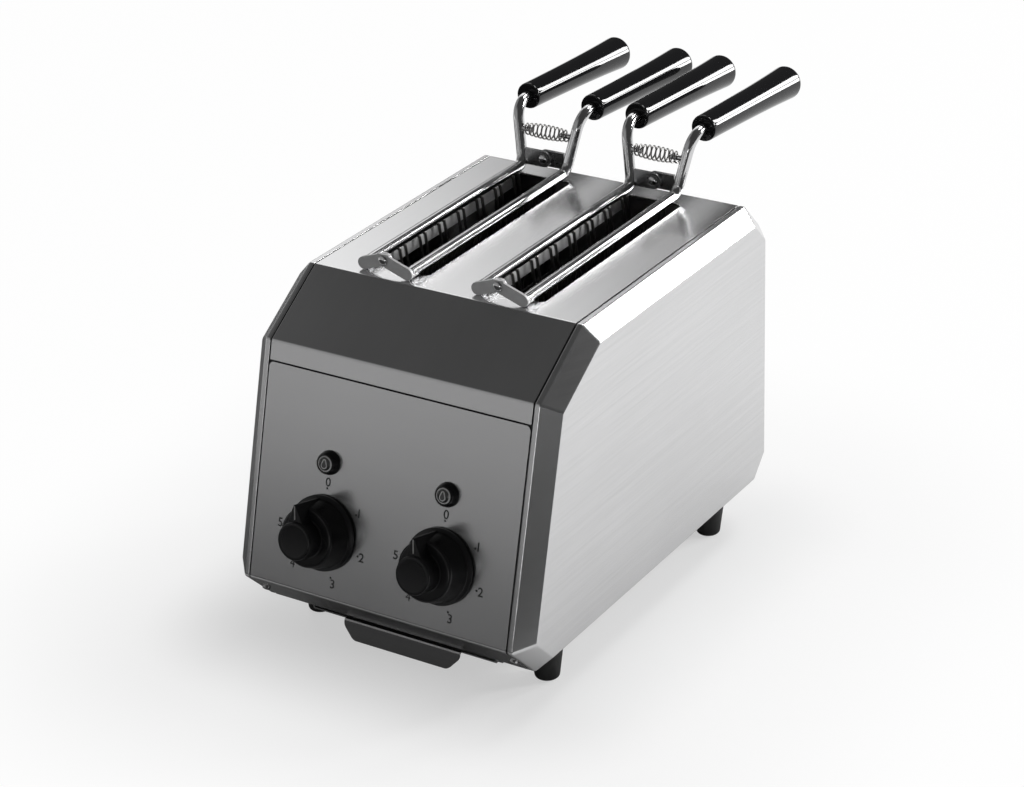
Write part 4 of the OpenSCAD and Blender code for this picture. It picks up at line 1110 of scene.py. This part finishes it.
        # The front plate takes the second, paler finish as painted light; the rear plate takes the first,
        # darker one as painted shade.
        add_plate(bm, bar, (front, front + t.link_t), 1)
        middle = self.rear_y(lay)
        rear = middle - t.link_t - t.link_gap / 2 if side < 0 else middle + t.link_gap / 2
        overlap = 0.0012
        reach, half = t.spread / 2 - lay.rod_r + overlap, t.rear_link / 2
        plate = [pivot + Vector((side * reach, -half)), pivot + Vector((side * reach, half))]
        for k in range(15):
            plate.append(pivot + Matrix.Rotation(side * math.pi * k / 14, 2) @ Vector((0, half)))
        add_plate(bm, plate, (rear, rear + t.link_t))
        piece = make_piece(f"{tong}_{arm}_link_plates", bm, ["link_plate", "front_link"])
        round_edges(piece, 0.0003)
        self.dress_arm(piece, tong, arm, "tong_wire", "links")

    def crossing(self, a, b, axis, value):
        return a.lerp(b, (value - a[axis]) / (b[axis] - a[axis]))

    def rivets(self, lay, tong):
        t = lay.t
        pivot = lay.pivots[tong]
        grip = 2 * t.link_t + 3 * t.link_gap
        r, head, tall = t.rivet / 2, 0.8 * t.rivet, 0.0014
        dome = arc(0, 0, head, -tall, (1.3, 1.0, 0.7, 0.4, 0.15, 0.0))
        profile = [(0.0, -tall)] + dome + [(r, 0.0), (r, grip)]
        profile += [(radius, grip - height) for radius, height in dome[::-1]] + [(0.0, grip + tall)]
        bm = bmesh.new()
        for y in (self.link_y(lay, 1), self.rear_y(lay) - t.link_t - t.link_gap / 2):
            at = Matrix.Translation((pivot.x, y - t.link_gap, pivot.z))
            add_lathe(bm, profile, at @ Matrix.Rotation(-math.pi / 2, 4, "X"), 32)
        piece = make_piece(f"{tong}_pivot_rivets", bm, ["bright_wire"])
        dress(piece, f"{tong}_tong", "tong_wire", f"{tong}_tong_rivets")

    def spring(self, lay, tong):
        t = lay.t
        steps, clear, over = 24, 0.0003, 0.006
        share = t.spring_up / t.rise
        x, y, z = lay.pivots[tong].x, lay.heel_y + t.back * share, lay.rod_z + t.spring_up
        centre = Vector((x, y, z))
        half = t.spread / 2 + (t.handle_spread - t.spread) / 2 * share - lay.rod_r - clear
        long = 2 * (half - t.spring_wire)
        last = t.spring_turns * steps
        points, outs = [], []
        for k in range(last + 1):
            s, w = k / last, TAU * k / steps
            radius = (t.spring_end + (t.spring_mid - t.spring_end) * math.sin(math.pi * s)) / 2
            outs.append(Vector((0, math.cos(w), math.sin(w))))
            points.append(centre + Vector(((s - 0.5) * long, 0, 0)) + outs[-1] * radius)
        end = Vector((t.spring_wire, 0, 0))
        points = [points[0] - end] + points + [points[-1] + end]
        outs = [outs[0]] + outs + [outs[-1]]
        loops = []
        for before, p, after, out in zip(points[:1] + points, points, points[1:] + points[-1:], outs):
            loops.append(ring(p, (after - before).normalized(), out, t.spring_wire / 2, 10))
        middle = len(loops) // 2
        # The spring is made in two halves, the left and the right.
        for arm, side, wire in (("left", -1, loops[: middle + 1]), ("right", 1, loops[middle:])):
            bm = bmesh.new()
            add_loft(bm, wire)
            piece = make_piece(f"{tong}_{arm}_coil_spring", bm, ["spring_steel"], 60)
            keep_flats(piece)
            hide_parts(f"{tong}_tong_spring")
            over_peg = centre + Vector((side * (half - over), 0, 0))
            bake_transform(piece)


class MakeFixings(ToasterOperator, bpy.types.Operator):
    """Casing screws with cross recesses"""

    bl_idname = "toaster.fixings"
    bl_label = "Fixings"

    def execute(self, context):
        lay = Layout(context.scene)
        c = lay.c
        d, long = 0.003, 0.006
        r, tall = 0.85 * d, 0.6 * d
        x = lay.lip_x - r - 2 * c.seam
        heights = (lay.floor + 1.6 * c.chamfer, lay.top - 1.6 * c.chamfer)
        places = [lay.toe(s * x) for s in (-1, 1)]
        places += [lay.rear(s * x, z) for s in (-1, 1) for z in heights]
        dome = ((1, 0), (1, 0.35), (0.93, 0.7), (0.75, 0.93), (0.5, 1), (0, 1))
        screw = [(0.0, -long), (d / 2, -long), (d / 2, 0.0)] + [(r * a, tall * b) for a, b in dome]
        reach, half = r * 0.62, 0.00032
        limb = flat((reach, -half), (reach, half), (half, half))
        cross = [Matrix.Rotation(k * math.pi / 2, 2) @ p for k in range(4) for p in limb]
        screws, crosses = bmesh.new(), bmesh.new()
        for place in places:
            add_lathe(screws, screw, place, 32)
            add_prism(crosses, cross, place, tall * 0.35, tall * 1.5)
        piece = make_piece("casing_screws", screws, ["screw_plate"])
        cut_away(piece, make_piece("cross_cutter", crosses, []))
        dress(piece, "toaster", "fastener_steel", "cover_screws")
        return {"FINISHED"}


class DressInside(ToasterOperator, bpy.types.Operator):
    """Finishes for the solids that show as they are"""

    bl_idname = "toaster.inside"
    bl_label = "Inner pieces"

    def execute(self, context):
        plan = {
            "panel_steel": ["rear_panel", "base_plate", "tray_runners"],
            "inner_steel": [
                "tray_walls", "front_bulkhead", "rear_bulkhead", "left_reflector", "right_reflector",
            ],
            "guard_wire": [
                "left_outer_guard", "left_inner_guard", "right_inner_guard", "right_outer_guard",
            ],
            "quartz": ["left_heaters", "centre_heaters", "right_heaters"],
            "ceramic": ["heater_caps", "terminal_block", "left_timer", "right_timer"],
            "screw_plate": ["foot_screws", "timer_screws", "left_timer_shaft", "right_timer_shaft"],
            "lamp_lens": ["neon_bulbs"],
            "rubber": ["cord_gland"],
            "brass": ["earth_stud"],
            "lead": ["internal_wires"],
        }
        for finish, nodes in plan.items():
            for node in nodes:
                slots = NODES[node].data.materials
                slots.clear()
                slots.append(look(finish))
        return {"FINISHED"}


class MakeStage(ToasterOperator, bpy.types.Operator):
    """Pale floor, soft light and the camera"""

    bl_idname = "toaster.stage"
    bl_label = "Stage"

    # name, direction from the toaster, distance, size, power
    LAMPS = (
        ("key_softbox", (0.70, 0.58, 0.41), 2.0, (0.36, 0.32), 15.0),
        ("window_high", (0.4417, 0.8002, 0.4057), 2.246, (0.26, 0.62), 12.0),
        ("window_low", (0.530, 0.8316, 0.167), 2.185, (0.26, 0.34), 6.5),
        ("top_softbox", (0.20, 0.50, 0.84), 1.9, (0.5, 0.5), 8.0),
        ("front_strip", (0.26, -0.96, 0.03), 2.0, (0.24, 0.8), 2.4),
    )
    AIM = Vector((0, -0.02, 0.14))
    # name, grey, corners as (to the right of the camera's view, towards the camera)
    CARDS = (
        (
            "front_card",
            0.10,
            (
                (-2.6, -0.10), (-0.34, -0.10), (-0.30, 0.12), (-0.16, 0.21), (-0.04, 0.28), (0.2, 0.42),
                (0.6, 0.78), (1.3, 0.9), (2.4, 3.2), (0.2, 3.2), (-2.6, 1.6),
            ),
        ),
        (
            "left_card",
            0.18,
            (
                (-0.22, 0.06), (-0.16, -0.10), (-0.26, -0.60), (-0.46, -1.7), (-1.2, -1.7),
                (-0.98, -0.40), (-0.55, 0.0),
            ),
        ),
    )
    RIGHT, NEAR = Vector((0.839, 0.544, 0)), Vector((0.544, -0.839, 0))
    # camera fitted to the photograph's straight edges, in radians and metres
    AZIMUTH, ELEVATION, ROLL = 0.5754622524, 0.4585987288, -0.0375270186
    DISTANCE, TARGET_BACK, TARGET_UP = 1.75376, 0.157086, 0.12403
    FOCAL = 2847.59 / 1024  # focal length over the picture's width

    def execute(self, context):
        scene = context.scene
        scene.view_settings.view_transform = "Standard"
        self.camera(scene, Layout(scene))
        self.floor()
        for card in self.CARDS:
            self.dark_card(*card)
        self.dome(scene)
        for name, way, distance, size, watts in self.LAMPS:
            self.softbox(scene, name, Vector(way).normalized() * distance, size, watts)
        return {"FINISHED"}

    def camera(self, scene, lay):
        sin, cos = math.sin, math.cos
        level = cos(self.ELEVATION)
        back = Vector((sin(self.AZIMUTH) * level, -cos(self.AZIMUTH) * level, sin(self.ELEVATION)))
        right = Vector((cos(self.AZIMUTH), sin(self.AZIMUTH), 0))
        up = back.cross(right)
        data = bpy.data.cameras.new("photo_camera")
        data.sensor_width = 36
        data.sensor_fit = "HORIZONTAL"
        data.lens = self.FOCAL * data.sensor_width
        data.clip_end = 50
        camera = bpy.data.objects.new("photo_camera", data)
        camera.matrix_world = frame_at(
            Vector((0, lay.y0 + self.TARGET_BACK, self.TARGET_UP)) + back * self.DISTANCE,
            right * cos(self.ROLL) + up * sin(self.ROLL),
            up * cos(self.ROLL) - right * sin(self.ROLL),
            back,
        )
        scene.collection.objects.link(camera)
        scene.camera = camera

    def floor(self):
        """White floor that keeps the shadow near the toaster and glows white further out."""
        half_w, half_d, ahead = 0.09, 0.12, 0.04
        f = new_finish("pale_floor")
        kinds = ("Is Camera Ray", "Is Glossy Ray", "Is Transmission Ray")
        seen, glossy, through = (f.node("ShaderNodeLightPath", out=kind) for kind in kinds)
        either = glossy + through
        mirrored = either.math("MINIMUM", either, 1.0) * (1 - seen)
        coords = f.node("ShaderNodeTexCoord", out="Object")
        x, y = (f.node("ShaderNodeSeparateXYZ", None, {0: coords}, axis) for axis in "XY")
        across = x.math("ABSOLUTE", x) - half_w
        along = y.math("ABSOLUTE", y + ahead) - half_d
        across, along = across.math("MAXIMUM", across, 0.0), along.math("MAXIMUM", along, 0.0)
        away = across.math("SQRT", across * across + along * along)
        shown = 0.52 + away.over(0.0, 0.10) * 0.28 + away.over(0.04, 0.26) * 0.18
        right = x.over(0.085, 0.12)
        clear = away + right * 0.03
        shaded = clear.over(0.03, 0.14) * 0.52 + clear.over(0.06, 0.34) * 0.45
        mottle = f.noise(3.0)
        # Near the toaster, except on its right, the floor's colour is darker for mirrored rays only:
        # painted shade in the steel's reflections.
        under = mirrored * (1 - away.over(0.05, 0.16)) * (1 - right)
        white = f.tint((0.86, 0.86, 0.86), 0.97 + mottle * 0.06 - under * 0.55)
        matt = f.node("ShaderNodeBsdfDiffuse", None, {"Color": white})
        glow = f.node("ShaderNodeEmission", None, {"Color": (1, 1, 1, 1), "Strength": 1.0})
        glowing = seen * shown + mirrored * shaded
        f.close(f.node("ShaderNodeMixShader", None, {0: glowing, 1: matt, 2: glow}))
        bm = bmesh.new()
        bmesh.ops.create_circle(bm, cap_ends=True, segments=64, radius=9.0)
        floor = make_piece("floor", bm, [])
        floor.data.materials.append(f.block)

    def dark_card(self, name, shade, corners):
        """Dark card just above the floor, that only the steel mirrors: painted shade in the steel's
        reflections.
        """
        lift = Vector((0, 0, 0.001))
        bm = bmesh.new()
        bm.faces.new([bm.verts.new(self.RIGHT * u + self.NEAR * v + lift) for u, v in corners])
        card = make_piece(name, bm, [])
        card.data.materials.append(matt_black(name, (shade, shade, shade), 0.9))
        card.visible_camera = card.visible_shadow = card.visible_diffuse = False

    def dome(self, scene):
        """Dim surroundings with three pale patches for the steel to mirror."""
        world = bpy.data.worlds.new("studio_dome")
        scene.world = world
        f = Finish(world)
        way = f.node("ShaderNodeTexCoord", out="Generated")
        x, y, z = (f.node("ShaderNodeSeparateXYZ", None, {0: way}, axis) for axis in "XYZ")
        behind_left = (x * -0.90 + y * 0.10 + z * 0.90).over(0.815, 0.94)
        behind_left = behind_left * y.over(0.30, 0.62) * (x * -1.0).over(0.10, 0.36)
        front_left = (x * -0.48 - y * 0.85 + z * 0.20).over(0.70, 0.98)
        left = (z * 0.35 - x * 0.90).over(0.78, 0.94) * (1 - y.over(0.10, 0.45))
        strength = 0.06 + behind_left * 1.4 + front_left * 0.30 + left * 0.26
        shade = f.node("ShaderNodeBackground", None, {"Color": (1, 1, 1, 1), "Strength": strength})
        f.close(shade, "ShaderNodeOutputWorld")

    def softbox(self, scene, name, place, size, watts):
        data = bpy.data.lights.new(name, "AREA")
        data.shape = "RECTANGLE"
        data.size, data.size_y = size
        data.energy = watts
        lamp = bpy.data.objects.new(name, data)
        aim = (place - self.AIM).to_track_quat("Z", "Y").to_matrix().to_4x4()
        lamp.matrix_world = Matrix.Translation(place) @ aim
        scene.collection.objects.link(lamp)


class ToasterPanel(bpy.types.Panel):
    """Buttons for the toaster's pieces"""

    bl_idname = "VIEW3D_PT_toaster"
    bl_label = "Tong toaster"
    bl_space_type = "VIEW_3D"
    bl_region_type = "UI"
    bl_category = "Toaster"

    def draw(self, context):
        for operator in OPERATORS:
            self.layout.operator(operator.bl_idname)


OPERATORS = (
    MakeStage,
    MakeSidePanels,
    MakeCovers,
    MakeFeet,
    MakeTray,
    MakeKnobs,
    MakeLamps,
    MakeDialMarks,
    MakeTongs,
    MakeFixings,
    DressInside,
)
GROUPS = {
    "toaster_casing": CasingSizes,
    "toaster_controls": ControlSizes,
    "toaster_tray": TraySizes,
    "toaster_tongs": TongSizes,
    "toaster_finishes": FinishColours,
}


def register():
    for group in GROUPS.values():
        bpy.utils.register_class(group)
    for name, group in GROUPS.items():
        setattr(bpy.types.Scene, name, PointerProperty(type=group))
    for operator in OPERATORS:
        bpy.utils.register_class(operator)
    bpy.utils.register_class(ToasterPanel)


def unregister():
    bpy.utils.unregister_class(ToasterPanel)
    for operator in reversed(OPERATORS):
        bpy.utils.unregister_class(operator)
    for name in GROUPS:
        delattr(bpy.types.Scene, name)
    for group in reversed(list(GROUPS.values())):
        bpy.utils.unregister_class(group)


def main():
    register()
    for operator in OPERATORS:
        group, name = operator.bl_idname.split(".")
        getattr(getattr(bpy.ops, group), name)()


if __name__ == "__main__":
    main()
